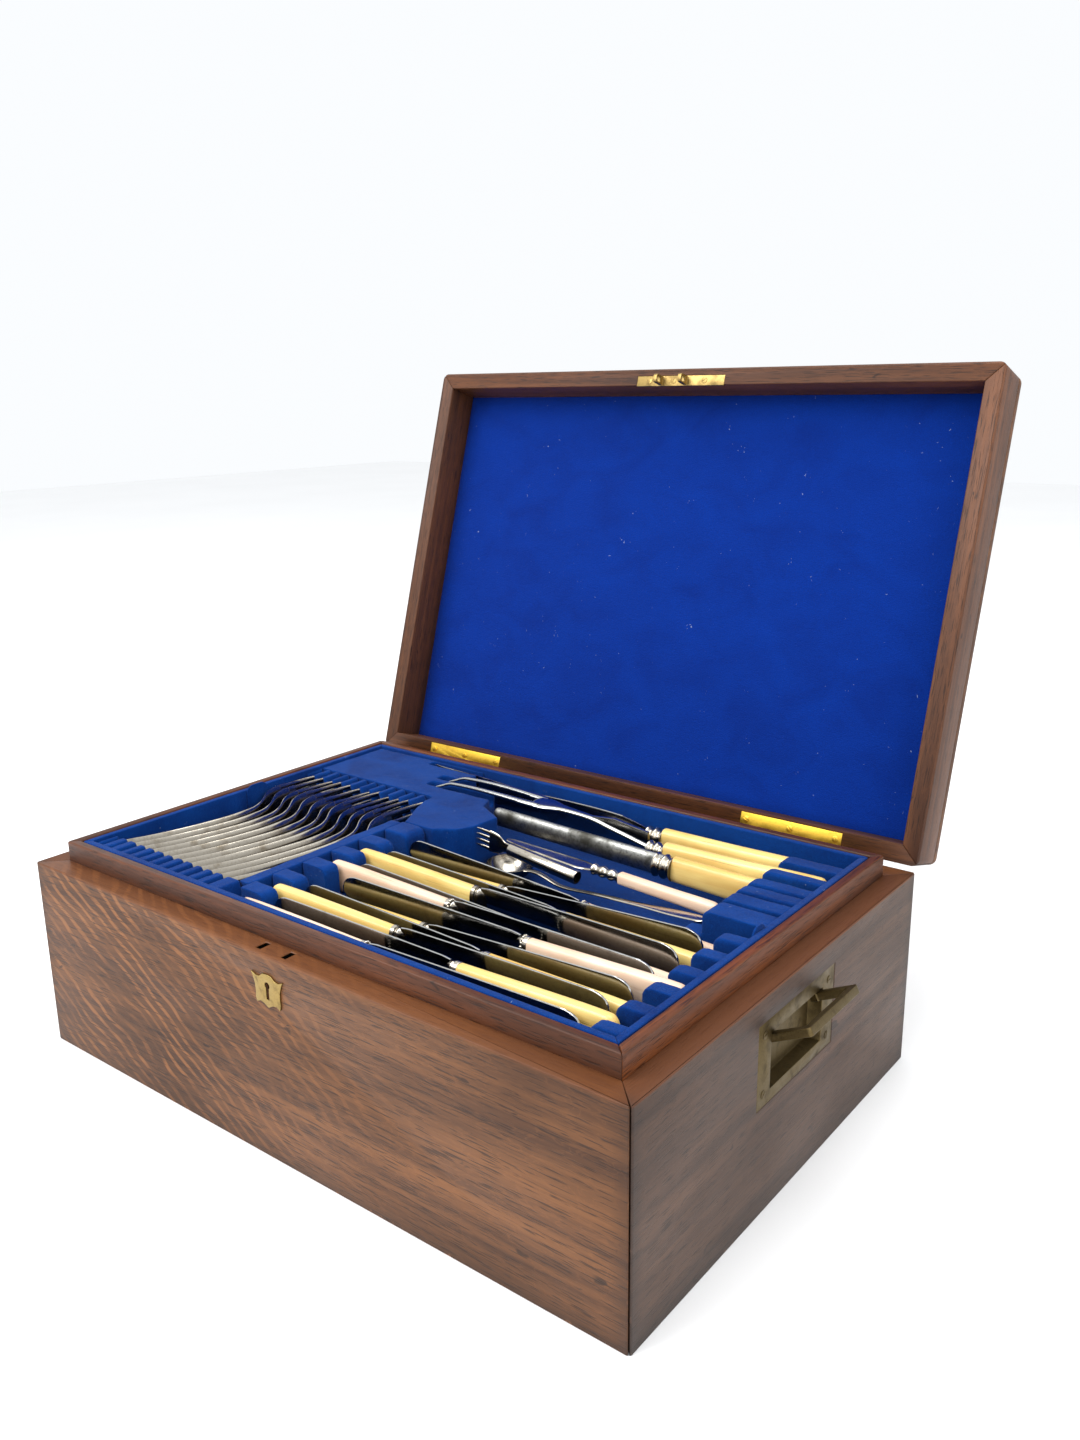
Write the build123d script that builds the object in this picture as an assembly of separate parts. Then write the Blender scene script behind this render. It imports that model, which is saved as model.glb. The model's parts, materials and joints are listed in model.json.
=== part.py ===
"""Oak canteen of cutlery: a mitred chest with a hinged lid, a lift-out tray of racks, and its cutlery.

Millimetres, +Z up, +X to the right of the keyhole side, +Y towards the hinges. The origin is the middle of
the underside. The lid stands open on its stops and the right-hand bail is raised, as they rest.
"""

from build123d import *
from math import asin, cos, degrees, radians, sin, sqrt, tan
import os

os.makedirs("parts", exist_ok=True)

# Chest
WIDTH = 480.0
DEPTH = 326.0
LEDGE_Z = 132.0
BOARD = 15.5
LINING = 6.3
LIP_RISE = 13.5
LIP_Z = LEDGE_Z + LIP_RISE
BASE = 9.0
CORNER_ROUND = 2.5
JOINT_GAPE = 0.8
BEARER = 6.0
FELT = 1.5
HALF_W = WIDTH / 2
HALF_D = DEPTH / 2
CLEAR_X = HALF_W - BOARD - LINING
CLEAR_Y = HALF_D - BOARD - LINING

# Lid, drawn shut and then swung open about the hinge line
LID_GAP = 0.4
LID_HEIGHT = 37.6
LID_TOP = 9.0
LID_RAIL = 12.5
LID_ROUND = 5.0
LID_OPEN = 106.7
LID_Z0 = LEDGE_Z + LID_GAP
LID_Z1 = LID_Z0 + LID_HEIGHT

# Butt hinges
HINGE_X = 148.5
HINGE_LONG = 76.0
LEAF_REACH = 11.0
LEAF_THICK = 1.8
KNUCKLE_R = 2.2
PIN_R = 1.2
PIN_PLAY = 0.06
KNUCKLES = 5
KNUCKLE_GAP = 0.15
AXIS_Y = HALF_D + KNUCKLE_R + 0.15
AXIS_Z = LEDGE_Z + LID_GAP / 2
ALONG_X = Rot(0, 90, 0)
ALONG_Y = Rot(90, 0, 0)
LEAF_SCREWS = (-33.5, 0.0, 33.5)
SCREW_R = 2.4
SUNK = 0.3

# Lock, link plate and escutcheon
LOCK_X = -4.5
STAPLE_X = (-16.5, 4.8)
STAPLE_Y = -HALF_D + 9.0
STAPLE = (3.0, 6.5, 9.0)
STAPLE_EYE = (4.2, 4.4)
SLOT_PLAY = 0.7
PLATE_LONG = 76.0
PLATE_WIDE = 7.6
PLATE_THICK = 1.8
PLATE_SCREWS = (-27.0, -5.6, 21.0)
CASE_X = (-36.0, 28.0)
CASE_Y = (-HALF_D + 4.0, -HALF_D + 14.5)
CASE_Z = (100.0, 130.6)
CASE_WALL = 1.2
KEY_X = -3.4
KEY_Z = 114.6
KEY_R = 2.1
KEY_SLOT = (2.4, 8.6)
BOLT_TRAVEL = 6.0
ESCUTCHEON_THICK = 0.9

# Flush carrying handles
HANDLE_Z = 91.8
PLATE_Y = 90.0
PLATE_H = 50.4
PLATE_T = 1.5
CUP_Y = 61.0
CUP_Z = (74.0, 107.4)
CUP_DEEP = 9.0
CUP_WALL = 1.2
BAIL_PIVOT_X = HALF_W - 3.4
BAIL_PIVOT_Z = 102.3
BAIL_SPAN = 55.0
BAIL_ARM = 25.0
BAIL_BAR = 4.8
BAIL_RAISED = 116.0
PIVOT_R = 1.5
PIVOT_PLAY = 0.08
PIVOT_DEEP = 1.0
CUP_SCREW_Y = 38.0
CUP_SCREW_Z = 17.5

# Lift-out tray
TRAY_PLAY = 1.0
TRAY_WALL = 4.5
TRAY_X = CLEAR_X - TRAY_PLAY
TRAY_Y = CLEAR_Y - TRAY_PLAY
TRAY_FLOOR = 104.0
TRAY_UNDER = TRAY_FLOOR - TRAY_WALL
TRAY_TOP = LIP_Z - 0.5
IN_X = TRAY_X - TRAY_WALL
IN_Y = TRAY_Y - TRAY_WALL
RACK_TOP = 143.0
RIB_ROUND = 5.0
SEAT_GAP = 0.1

# Forks, on edge and leaning, handles to the front
FORKS = 12
FORK_LONG = 200.0
FORK_X0 = -204.8
FORK_PITCH = 10.25
FORK_FRONT_Y = -131.0
FORK_Z = 130.7
FORK_LEAN = 18.0
COMB_BACK = -117.0
COMB_SLOT = 4.4
COMB_SHIFT = 0.5
COMB_SEAT = 120.5
COMB_LAST_X = -77.6
TIPS_Y = (52.0, 69.0)
TIPS_SLOT = 6.5
TIPS_SHIFT = 0.3
TIPS_SEAT = 117.6
DIVIDER = ((-74.0, 104.0), (-74.0, 142.0), (-84.2, 142.0), (-78.7, 125.0), (-78.7, 104.0))
DIVIDER_BACK = 18.0

# Table knives, on edge, alternately head to tail
HANDLE_LONG = 104.0
BLADE_LONG = 148.0
KNIFE_LONG = HANDLE_LONG + BLADE_LONG
KNIFE_Z = 131.0
KNIFE_THICK = 9.0
BUTT_HALF = 10.2
BUTT_EASE = 6.0
BLADE_THICK = 1.8
TIP_DEEP = 9.2
TOE_BACK = 11.0
LEFT_RACK = (-73.6, -51.6)
LEFT_TOE = -37.0
LEFT_RIBS = (-118.0, 24.75, 12.6)
LEFT_END = (-1.0, 18.0)
RIGHT_RACK = (193.5, IN_X)
RIGHT_TOE = 180.0
RIGHT_RIBS = (-126.5, 23.5, 10.4)
# For each knife: X of the neck, Y of the butt, yaw, how far the butt has sunk, whether its handle is pale
LEFT_KNIVES = (
    (38.0, -130.4, 1.4, 0.0, True),
    (38.0, -104.8, 1.0, 0.0, False),
    (39.0, -81.0, 0.0, 10.5, False),
    (38.0, -56.1, -0.6, 0.0, True),
    (38.0, -31.4, -0.8, 0.0, False),
    (38.0, -6.6, -0.7, 13.5, False),
)
RIGHT_KNIVES = (
    (97.0, -114.7, 0.4, 0.0, False),
    (97.0, -91.6, 0.2, 6.5, False),
    (107.5, -67.3, 0.7, 1.0, True),
    (98.0, -46.0, 0.7, 11.0, True),
    (97.0, -22.0, 0.3, 8.0, False),
    (97.0, 1.0, 0.0, 13.0, True),
)

# Plateau of felt behind the forks
PLATEAU_PLAN = (
    (-IN_X, 69.3), (-96.0, 69.3), (-86.0, 45.0), (-72.0, 18.3), (-46.0, 18.3), (-31.0, 29.0), (-26.0, 40.0),
    (-24.0, 63.0), (-48.0, 76.0), (-58.0, 100.0), (-98.0, 114.0), (-98.0, IN_Y), (-IN_X, IN_Y),
)
PLATEAU_LEAN_X = -88.4
PLATEAU_SLITS = (
    ((-150.0, -97.0), (126.5, 134.0), 118.0),
    ((-120.0, -50.0), (104.0, 112.0), 135.0),
    ((-117.0, -40.0), (89.0, 97.0), 135.0),
)

# Carving ribs at the rear right: limits in Y of each rib, and of each seat with its height
CARVING_X = 171.0
CARVING_RIBS = ((12.0, 30.0), (33.5, 47.0), (50.0, 61.0), (64.0, 75.0), (84.8, 94.2), (106.2, 118.0))
CARVING_SEATS = (
    ((30.0, 33.5), 125.0),
    ((47.0, 50.0), 125.0),
    ((61.0, 64.0), 125.0),
    ((75.0, 84.8), 117.0),
    ((94.2, 106.2), 121.0),
    ((118.0, IN_Y), 118.8),
)
CARVING_TOE = 157.0
CARVING_TOES = (((12.0, 33.5), 127.3), ((33.5, 52.0), 123.6))
TABS = ((-7.0, 13.0), (-3.5, 11.5))
TAB_THICK = 1.2
TAB_ROUND = 6.5
TAB_Z = (120.0, 148.0)


def block(x, y, z):
    """A box between pairs of limits."""
    size = Box(x[1] - x[0], y[1] - y[0], z[1] - z[0])
    return Pos((x[0] + x[1]) / 2, (y[0] + y[1]) / 2, (z[0] + z[1]) / 2) * size


def prism(points, plane, depth):
    """A closed outline drawn on a plane and pushed along its normal."""
    return extrude(plane * make_face(Polyline(*points, close=True)), depth)


def round_bar(radius, long, sides=12, bore=False):
    """Faceted round stock along Z, centred; a bore is measured across its flats, so that its pin can turn."""
    return extrude(RegularPolygon(radius, sides, major_radius=not bore), long / 2, both=True)


def turned(profile, sides=12):
    """A faceted turning along X through a profile of places along and radii."""
    rings = [Plane.YZ.offset(along) * RegularPolygon(radius, sides) for along, radius in profile]
    return loft(rings, ruled=True)


def rounded_slab(z0, z1, radius):
    """The chest's plan with rounded upright edges, between two heights."""
    plan = RectangleRounded(WIDTH, DEPTH, radius)
    return extrude(Plane.XY.offset(z0) * plan, z1 - z0)


def mitred_sides(half_x, half_y, thick, z, gape=0.0):
    """Front, back, left and right boards of a frame, mitred at its corners."""
    inner_x = half_x - thick
    inner_y = half_y - thick
    inner = ((-inner_x, -inner_y), (inner_x, -inner_y), (inner_x, inner_y), (-inner_x, inner_y))
    outer = ((-half_x, -half_y), (half_x, -half_y), (half_x, half_y), (-half_x, half_y))
    plans = {
        "front": (outer[0], (half_x - gape, -half_y), inner[1], inner[0]),
        "back": (outer[3], inner[3], inner[2], outer[2]),
        "left": (outer[0], inner[0], inner[3], outer[3]),
        "right": (outer[1], outer[2], inner[2], inner[1]),
    }
    floor = Plane.XY.offset(z[0])
    return {side: prism(points, floor, z[1] - z[0]) for side, points in plans.items()}


def save(node, *solids):
    """Writes one node, which may be a group of like solids."""
    found = [solid for shape in solids for solid in shape.solids()]
    export_step(found[0] if len(found) == 1 else Compound(children=found), f"parts/{node}.step")


def swing(shape):
    """Carries a shape of the shut lid to the open lid."""
    return shape.rotate(Axis((0, AXIS_Y, AXIS_Z), (-1, 0, 0)), LID_OPEN)


def screw():
    """A countersunk screw's head, standing on its sunk plate, face up at z = 0."""
    return Pos(0, 0, -SUNK / 2) * round_bar(SCREW_R, SUNK)


# ---------------------------------------------------------------- chest


def keyhole(radius, slot, depth):
    """A keyhole's plug along Y from y = 0, its round eye at the origin."""
    eye = extrude(Plane.XZ * RegularPolygon(radius, 12), -depth)
    tail = block((-slot[0] / 2, slot[0] / 2), (0, depth), (-slot[1], 0))
    return eye + tail


def make_boards():
    """The mitred oak boards, cut for the lock, the hinges and the handles."""
    boards = mitred_sides(HALF_W, HALF_D, BOARD, (0, LEDGE_Z), JOINT_GAPE)
    shell = rounded_slab(0, LEDGE_Z, CORNER_ROUND)
    boards = {side: board & shell for side, board in boards.items()}
    front = boards["front"] - block(CASE_X, (CASE_Y[0], -HALF_D + BOARD), CASE_Z)
    for x in STAPLE_X:
        hole_x = (x - STAPLE[0] / 2 - SLOT_PLAY, x + STAPLE[0] / 2 + SLOT_PLAY)
        hole_y = (STAPLE_Y - STAPLE[1] / 2 - SLOT_PLAY, STAPLE_Y + STAPLE[1] / 2 + SLOT_PLAY)
        front -= block(hole_x, hole_y, (CASE_Z[1], LEDGE_Z))
    front -= Pos(KEY_X, -HALF_D, KEY_Z) * keyhole(KEY_R, KEY_SLOT, CASE_Y[0] + HALF_D)
    boards["front"] = front
    for x in (-HINGE_X, HINGE_X):
        boards["back"] -= leaf_seat(x, LEDGE_Z - LEAF_THICK, LEDGE_Z)
    for side, sign in (("right", 1), ("left", -1)):
        boards[side] -= mirrored(handle_seat(), sign)
    for side, board in boards.items():
        save(f"{side}_board", board)


def make_linings():
    """The thin boards inside, whose top edges make the dust lip, and what they carry."""
    half_x = HALF_W - BOARD
    half_y = HALF_D - BOARD
    for side, board in mitred_sides(half_x, half_y, LINING, (BASE, LIP_Z)).items():
        save(f"{side}_lining", board)
    save("base_board", block((-half_x, half_x), (-half_y, half_y), (0, BASE)))
    felt = block((-CLEAR_X, CLEAR_X), (-CLEAR_Y, CLEAR_Y), (BASE, BASE + FELT))
    save("well_felt", felt)
    z = (TRAY_UNDER - BEARER, TRAY_UNDER)
    run_y = (-CLEAR_Y, CLEAR_Y)
    left = block((-CLEAR_X, -CLEAR_X + BEARER), run_y, z)
    right = block((CLEAR_X - BEARER, CLEAR_X), run_y, z)
    save("tray_bearers", left, right)


def make_lock():
    """The lock's case with its drill pin, its sliding bolt, and the shield over the keyhole."""
    case = block(CASE_X, CASE_Y, CASE_Z)
    room = [(a + CASE_WALL, b - CASE_WALL) for a, b in (CASE_X, CASE_Y, CASE_Z)]
    case -= block(*room)
    case -= Pos(KEY_X, CASE_Y[0], KEY_Z) * keyhole(KEY_R, KEY_SLOT, CASE_WALL)
    for x in STAPLE_X:
        play = SLOT_PLAY
        hole_x = (x - STAPLE[0] / 2 - play, x + STAPLE[0] / 2 + play)
        hole_y = (STAPLE_Y - STAPLE[1] / 2 - play, STAPLE_Y + STAPLE[1] / 2 + play)
        case -= block(hole_x, hole_y, (CASE_Z[1] - CASE_WALL, CASE_Z[1]))
    drill_long = room[1][1] - CASE_Y[0]
    drill = Pos(KEY_X, room[1][1] - drill_long / 2, KEY_Z) * ALONG_Y * round_bar(0.9, drill_long, 8)
    save("lock_case", case + drill)

    eye_z = LID_Z0 - STAPLE[2] + STAPLE_EYE[1] / 2 + 1.4
    bar_y = (STAPLE_Y + 1.0, STAPLE_Y + 3.2)
    finger_y = (STAPLE_Y - 1.5, STAPLE_Y + 1.5)
    stem_x = [x - STAPLE[0] / 2 - BOLT_TRAVEL - 2.0 for x in STAPLE_X]
    run_x = (stem_x[0] - 3.0, room[0][1] - BOLT_TRAVEL - 1.0)
    bolt = block(run_x, bar_y, (118.6, 119.8))
    bolt += block(run_x, (bar_y[0], room[1][1] - 0.4), (117.6, 118.8))
    for x in stem_x:
        bolt += block((x - 3.0, x), (finger_y[0], bar_y[1]), (117.6, eye_z + 1.3))
        bolt += block((x - 3.0, x + 6.0), finger_y, (eye_z - 1.3, eye_z + 1.3))
    save("lock_bolt", bolt)

    half = [(0, 13.0), (3.6, 12.6), (6.4, 10.4), (9.4, 10.0), (13.4, 11.6), (12.2, 9.4), (10.6, 5.0)]
    half += [(10.2, 0.0), (10.6, -3.4), (9.8, -6.4), (6.8, -5.0), (3.6, -5.6), (0, -7.6)]
    outline = half + [(-x, z) for x, z in reversed(half[1:-1])]
    face_y = -HALF_D
    lift = KEY_Z - 6.0
    face = Plane.XZ.offset(-face_y) * Pos(KEY_X, lift) * make_face(Polyline(*outline, close=True))
    shield = extrude(face, ESCUTCHEON_THICK)
    bite = Pos(KEY_X, face_y - ESCUTCHEON_THICK - 1, KEY_Z) * keyhole(KEY_R, KEY_SLOT, ESCUTCHEON_THICK + 2)
    save("escutcheon", shield - bite)


# ---------------------------------------------------------------- hinges


def leaf_seat(x, z0, z1):
    """The wood cut away for one hinge leaf and the knuckle behind it."""
    return block((x - HINGE_LONG / 2, x + HINGE_LONG / 2), (HALF_D - LEAF_REACH, HALF_D + 1), (z0, z1))


def hinge_leaf(x, z0, z1, carried):
    """One leaf with the knuckles it carries, bored for the pin."""
    leaf = block((x - HINGE_LONG / 2, x + HINGE_LONG / 2), (HALF_D - LEAF_REACH, AXIS_Y), (z0, z1))
    pitch = HINGE_LONG / KNUCKLES
    room = KNUCKLE_R + 0.25
    for n in range(KNUCKLES):
        mid = x - HINGE_LONG / 2 + pitch * (n + 0.5)
        if n in carried:
            leaf += Pos(mid, AXIS_Y, AXIS_Z) * ALONG_X * round_bar(KNUCKLE_R, pitch - 2 * KNUCKLE_GAP, 16)
        else:
            leaf -= Pos(mid, AXIS_Y, AXIS_Z) * Box(pitch, 2 * room, 4 * room)
    return leaf - Pos(x, AXIS_Y, AXIS_Z) * ALONG_X * round_bar(PIN_R + PIN_PLAY, HINGE_LONG + 2, bore=True)


def make_hinges():
    """Two butt hinges let into the back board and the lid's back rail."""
    middle = HALF_D - LEAF_REACH / 2 - 0.6
    case_screws = []
    lid_screws = []
    pins = []
    for side, x in (("left", -HINGE_X), ("right", HINGE_X)):
        case_leaf = hinge_leaf(x, LEDGE_Z - LEAF_THICK, LEDGE_Z - SUNK, (0, 2, 4))
        lid_leaf = hinge_leaf(x, LID_Z0 + SUNK, LID_Z0 + LEAF_THICK, (1, 3))
        for along in LEAF_SCREWS:
            case_screws.append(Pos(x + along, middle, LEDGE_Z) * screw())
            lid_screws.append(swing(Pos(x + along, middle, LID_Z0 + SUNK) * screw()))
        pins.append(Pos(x, AXIS_Y, AXIS_Z) * ALONG_X * round_bar(PIN_R, HINGE_LONG))
        save(f"hinge_case_leaf_{side}", case_leaf)
        save(f"hinge_lid_leaf_{side}", swing(lid_leaf))
    save("hinge_pins", *pins)
    save("hinge_case_screws", *case_screws)
    save("hinge_lid_screws", *lid_screws)


# ---------------------------------------------------------------- handles


def mirrored(shape, sign):
    """The shape itself, or its twin at the other end of the chest."""
    return shape if sign > 0 else shape.mirror(Plane.YZ)


def handle_seat():
    """The pocket in the right-hand board for the plate and its cup."""
    half_y = CUP_Y / 2 + CUP_WALL
    plate = block((HALF_W - PLATE_T, HALF_W + 1), (-PLATE_Y / 2, PLATE_Y / 2), handle_z(PLATE_H))
    cup_z = (CUP_Z[0] - CUP_WALL, CUP_Z[1] + CUP_WALL)
    return plate + block((HALF_W - CUP_DEEP - CUP_WALL, HALF_W), (-half_y, half_y), cup_z)


def handle_z(height):
    """The limits in Z of something centred on the handle's plate."""
    return (HANDLE_Z - height / 2, HANDLE_Z + height / 2)


def handle_cup():
    """The flush plate and the cup behind it, bored for the bail's pivots."""
    cup = handle_seat() & block((0, HALF_W - SUNK), (-PLATE_Y, PLATE_Y), (0, LEDGE_Z))
    cup -= block((HALF_W - CUP_DEEP, HALF_W + 1), (-CUP_Y / 2, CUP_Y / 2), CUP_Z)
    bore = round_bar(PIVOT_R + PIVOT_PLAY, CUP_Y + 2 * PIVOT_DEEP, bore=True)
    return cup - Pos(BAIL_PIVOT_X, 0, BAIL_PIVOT_Z) * ALONG_Y * bore


def bail():
    """The square-section handle, hanging down from its pivots at the right-hand end."""
    half = BAIL_SPAN / 2
    bar = BAIL_BAR / 2
    outer = RectangleRounded(BAIL_SPAN + BAIL_BAR, BAIL_ARM + BAIL_BAR, 2.0)
    inner = RectangleRounded(BAIL_SPAN - BAIL_BAR, BAIL_ARM - BAIL_BAR, 1.0)
    middle = BAIL_PIVOT_Z - BAIL_ARM / 2
    sketch = Plane.YZ.offset(BAIL_PIVOT_X - bar) * Pos(0, middle) * (outer - inner)
    ring = extrude(sketch, BAIL_BAR)
    gap_z = (BAIL_PIVOT_Z - bar - 0.01, BAIL_PIVOT_Z + 9)
    open_top = block((0, HALF_W + 9), (-half + bar, half - bar), gap_z)
    pivots = Pos(BAIL_PIVOT_X, 0, BAIL_PIVOT_Z) * ALONG_Y * round_bar(PIVOT_R, CUP_Y + 2 * PIVOT_DEEP - 0.2)
    pivots -= block((0, HALF_W + 9), (-half, half), (0, LEDGE_Z))
    return ring - open_top + pivots


def make_handles():
    """A plate with its cup, four screws and a bail at each end of the chest."""
    cup = handle_cup()
    raised = bail().rotate(Axis((BAIL_PIVOT_X, 0, BAIL_PIVOT_Z), (0, -1, 0)), BAIL_RAISED)
    screws = []
    for y in (-CUP_SCREW_Y, CUP_SCREW_Y):
        for z in (-CUP_SCREW_Z, CUP_SCREW_Z):
            one = Pos(HALF_W, y, HANDLE_Z + z) * ALONG_X * screw()
            screws += [one, mirrored(one, -1)]
    save("handle_cup_right", cup)
    save("handle_cup_left", mirrored(cup, -1))
    save("handle_screws", *screws)
    save("bail_right", raised)
    save("bail_left", mirrored(bail(), -1))


# ---------------------------------------------------------------- lid


def make_lid():
    """The mitred rails, the rounded top board, its felt and the link plate."""
    rails = mitred_sides(HALF_W, HALF_D, LID_RAIL, (LID_Z0, LID_Z1 - LID_TOP))
    shell = rounded_slab(LID_Z0, LID_Z1, LID_ROUND)
    rails = {side: rail & shell for side, rail in rails.items()}
    for x in (-HINGE_X, HINGE_X):
        rails["back"] -= leaf_seat(x, LID_Z0, LID_Z0 + LEAF_THICK)
    long_x = (LOCK_X + 4.5 - PLATE_LONG / 2, LOCK_X + 4.5 + PLATE_LONG / 2)
    wide_y = (STAPLE_Y - PLATE_WIDE / 2, STAPLE_Y + PLATE_WIDE / 2)
    deep_z = (LID_Z0, LID_Z0 + PLATE_THICK)
    rails["front"] -= block(long_x, wide_y, deep_z)
    for side, rail in rails.items():
        save(f"lid_{side}_rail", swing(rail))

    top = rounded_slab(LID_Z1 - LID_TOP, LID_Z1, LID_ROUND)
    save("lid_top_board", swing(fillet(top.edges().group_by(Axis.Z)[-1], LID_ROUND - 0.5)))
    half_x = HALF_W - LID_RAIL
    half_y = HALF_D - LID_RAIL
    pad_z = (LID_Z1 - LID_TOP - FELT, LID_Z1 - LID_TOP)
    save("lid_felt", swing(block((-half_x, half_x), (-half_y, half_y), pad_z)))

    plate = block(long_x, wide_y, (LID_Z0 + SUNK, LID_Z0 + PLATE_THICK))
    screws = [swing(Pos(x, STAPLE_Y, LID_Z0 + SUNK) * screw()) for x in PLATE_SCREWS]
    for x in STAPLE_X:
        tongue_y = (STAPLE_Y - STAPLE[1] / 2, STAPLE_Y + STAPLE[1] / 2)
        tongue = block((x - STAPLE[0] / 2, x + STAPLE[0] / 2), tongue_y, (LID_Z0 - STAPLE[2], LID_Z0 + SUNK))
        low = tongue.edges().filter_by(Axis.X).group_by(Axis.Z)[0]
        eye = Box(STAPLE[0] + 1, STAPLE_EYE[0], STAPLE_EYE[1])
        eye_z = LID_Z0 - STAPLE[2] + STAPLE_EYE[1] / 2 + 1.4
        plate += fillet(low, 2.0) - Pos(x, STAPLE_Y, eye_z) * eye
    save("link_plate", swing(plate))
    save("link_plate_screws", *screws)


# ---------------------------------------------------------------- tray


def rib(x, y, z, inward):
    """A felt-covered rib along X whose top corner is rounded at the end that faces inward."""
    end = x[1] if inward > 0 else x[0]
    shape = block(x, y, z)
    top = shape.edges().filter_by(Axis.Y).group_by(Axis.Z)[-1]
    return fillet(top.filter_by_position(Axis.X, end - 0.1, end + 0.1), RIB_ROUND)


def leant(x, z):
    """Where a line that leans with the forks, and passes X at their mid height, is at another height."""
    return x - (z - FORK_Z) * tan(radians(FORK_LEAN))


def leaning(x, y, z):
    """A rib whose sides lean with the forks, kept inside the tray's left wall."""
    left = [max(leant(x[0], level), -IN_X) for level in z]
    right = [leant(x[1], level) for level in z]
    outline = ((left[0], z[0]), (right[0], z[0]), (right[1], z[1]), (left[1], z[1]))
    return prism(outline, Plane.XZ.offset(-y[1]), y[1] - y[0])


def fork_ribs(slot, shift, y, seat, seat_end, last):
    """The seat under one end of the forks and the leaning ribs between them."""
    edges = [-IN_X - 20.0]
    for n in range(FORKS):
        middle = FORK_X0 + n * FORK_PITCH + shift
        edges += [middle - slot / 2, middle + slot / 2]
    edges = edges[:-1] if last is None else edges + [last]
    ribs = [leaning(x, y, (seat, RACK_TOP)) for x in pairs(edges)]
    return [block((-IN_X, seat_end), y, (TRAY_FLOOR, seat))] + ribs


def knife_rack(rack, toe, ribs, slots, here, far, inward):
    """A seat in each slot under the butts that lie here, and ribs with toes under the far knives' tips."""
    solids = []
    for y, knife in zip(slots, here):
        sunk = knife[3] * (KNIFE_LONG - BUTT_EASE) / KNIFE_LONG
        solids.append(block(rack, y, (TRAY_FLOOR, KNIFE_Z - BUTT_HALF - sunk - SEAT_GAP)))
    for y, knife in zip(ribs, far):
        toe_z = KNIFE_Z - TIP_DEEP - SEAT_GAP - TOE_BACK * knife[3] / KNIFE_LONG
        solids.append(rib(rack, y, (TRAY_FLOOR, RACK_TOP), inward))
        solids.append(block(toe, y, (TRAY_FLOOR, toe_z)))
    return solids


def rib_edges(ribs, count):
    """The limits in Y of evenly spaced ribs, one after another."""
    first, pitch, wide = ribs
    return [first + n * pitch + half for n in range(count) for half in (-wide / 2, wide / 2)]


def pairs(edges):
    """The stretches between every other pair of edges."""
    return list(zip(edges[0::2], edges[1::2]))


def make_tray_box():
    """The tray's base, its four walls and its two lifting tabs."""
    walls = mitred_sides(TRAY_X, TRAY_Y, TRAY_WALL, (TRAY_FLOOR, TRAY_TOP))
    for side, wall in walls.items():
        save(f"tray_{side}_wall", wall)
    save("tray_base", block((-TRAY_X, TRAY_X), (-TRAY_Y, TRAY_Y), (TRAY_UNDER, TRAY_FLOOR)))
    tabs = []
    for y, sign in zip(TABS, (-1, 1)):
        tab = block((IN_X - TAB_THICK, IN_X), y, TAB_Z)
        top = tab.edges().filter_by(Axis.X).group_by(Axis.Z)[-1]
        tabs.append(mirrored(fillet(top, TAB_ROUND), sign))
    save("lifting_tabs", *tabs)


def make_racks():
    """The ribs, blocks and divider that hold the cutlery in the tray."""
    comb_y = (-IN_Y, COMB_BACK)
    save("fork_comb", *fork_ribs(COMB_SLOT, COMB_SHIFT, comb_y, COMB_SEAT, DIVIDER[0][0], COMB_LAST_X))
    tips_end = leant(PLATEAU_LEAN_X, TIPS_SEAT) - 0.3
    save("fork_head_ribs", *fork_ribs(TIPS_SLOT, TIPS_SHIFT, TIPS_Y, TIPS_SEAT, tips_end, None))
    save("fork_knife_divider", prism(DIVIDER, Plane.XZ.offset(-DIVIDER_BACK), DIVIDER_BACK - COMB_BACK - 0.3))

    edges = [-IN_Y] + rib_edges(LEFT_RIBS, len(LEFT_KNIVES) - 1) + list(LEFT_END)
    toe = (LEFT_RACK[1], LEFT_TOE)
    left = knife_rack(LEFT_RACK, toe, pairs(edges[1:]), pairs(edges), LEFT_KNIVES, RIGHT_KNIVES, 1)
    save("knife_ribs_left", *left)
    edges = rib_edges(RIGHT_RIBS, len(RIGHT_KNIVES)) + [CARVING_RIBS[0][0] - 0.3]
    toe = (RIGHT_TOE, RIGHT_RACK[0])
    right = knife_rack(RIGHT_RACK, toe, pairs(edges), pairs(edges[1:]), RIGHT_KNIVES, LEFT_KNIVES, -1)
    save("knife_ribs_right", *right)

    plateau = prism(PLATEAU_PLAN, Plane.XY.offset(TRAY_FLOOR), RACK_TOP - TRAY_FLOOR)
    plateau -= leaning((-IN_X - 20.0, PLATEAU_LEAN_X), (DIVIDER_BACK, TIPS_Y[1]), (TRAY_FLOOR, RACK_TOP))
    for x, y, z in PLATEAU_SLITS:
        plateau -= block(x, y, (z, RACK_TOP + 1))
    save("plateau", plateau)

    carving = [rib((CARVING_X, IN_X), y, (TRAY_FLOOR, RACK_TOP), -1) for y in CARVING_RIBS]
    carving += [block((CARVING_X, IN_X), y, (TRAY_FLOOR, z)) for y, z in CARVING_SEATS]
    carving += [block((CARVING_TOE, CARVING_X), y, (TRAY_FLOOR, z)) for y, z in CARVING_TOES]
    save("carving_ribs", *carving)


# ---------------------------------------------------------------- cutlery


def bowed(stations, thick):
    """The outline of a strip bent to a side profile: distance along, rise and thickness."""
    above = [(rise + t / 2, along) for (along, rise), t in zip(stations, thick)]
    below = [(rise - t / 2, along) for (along, rise), t in zip(stations, thick)]
    return above + below[::-1]


def both_sides(half):
    """An outline from its upper half, mirrored in the first axis."""
    return half + [(along, -across) for along, across in reversed(half)]


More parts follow.
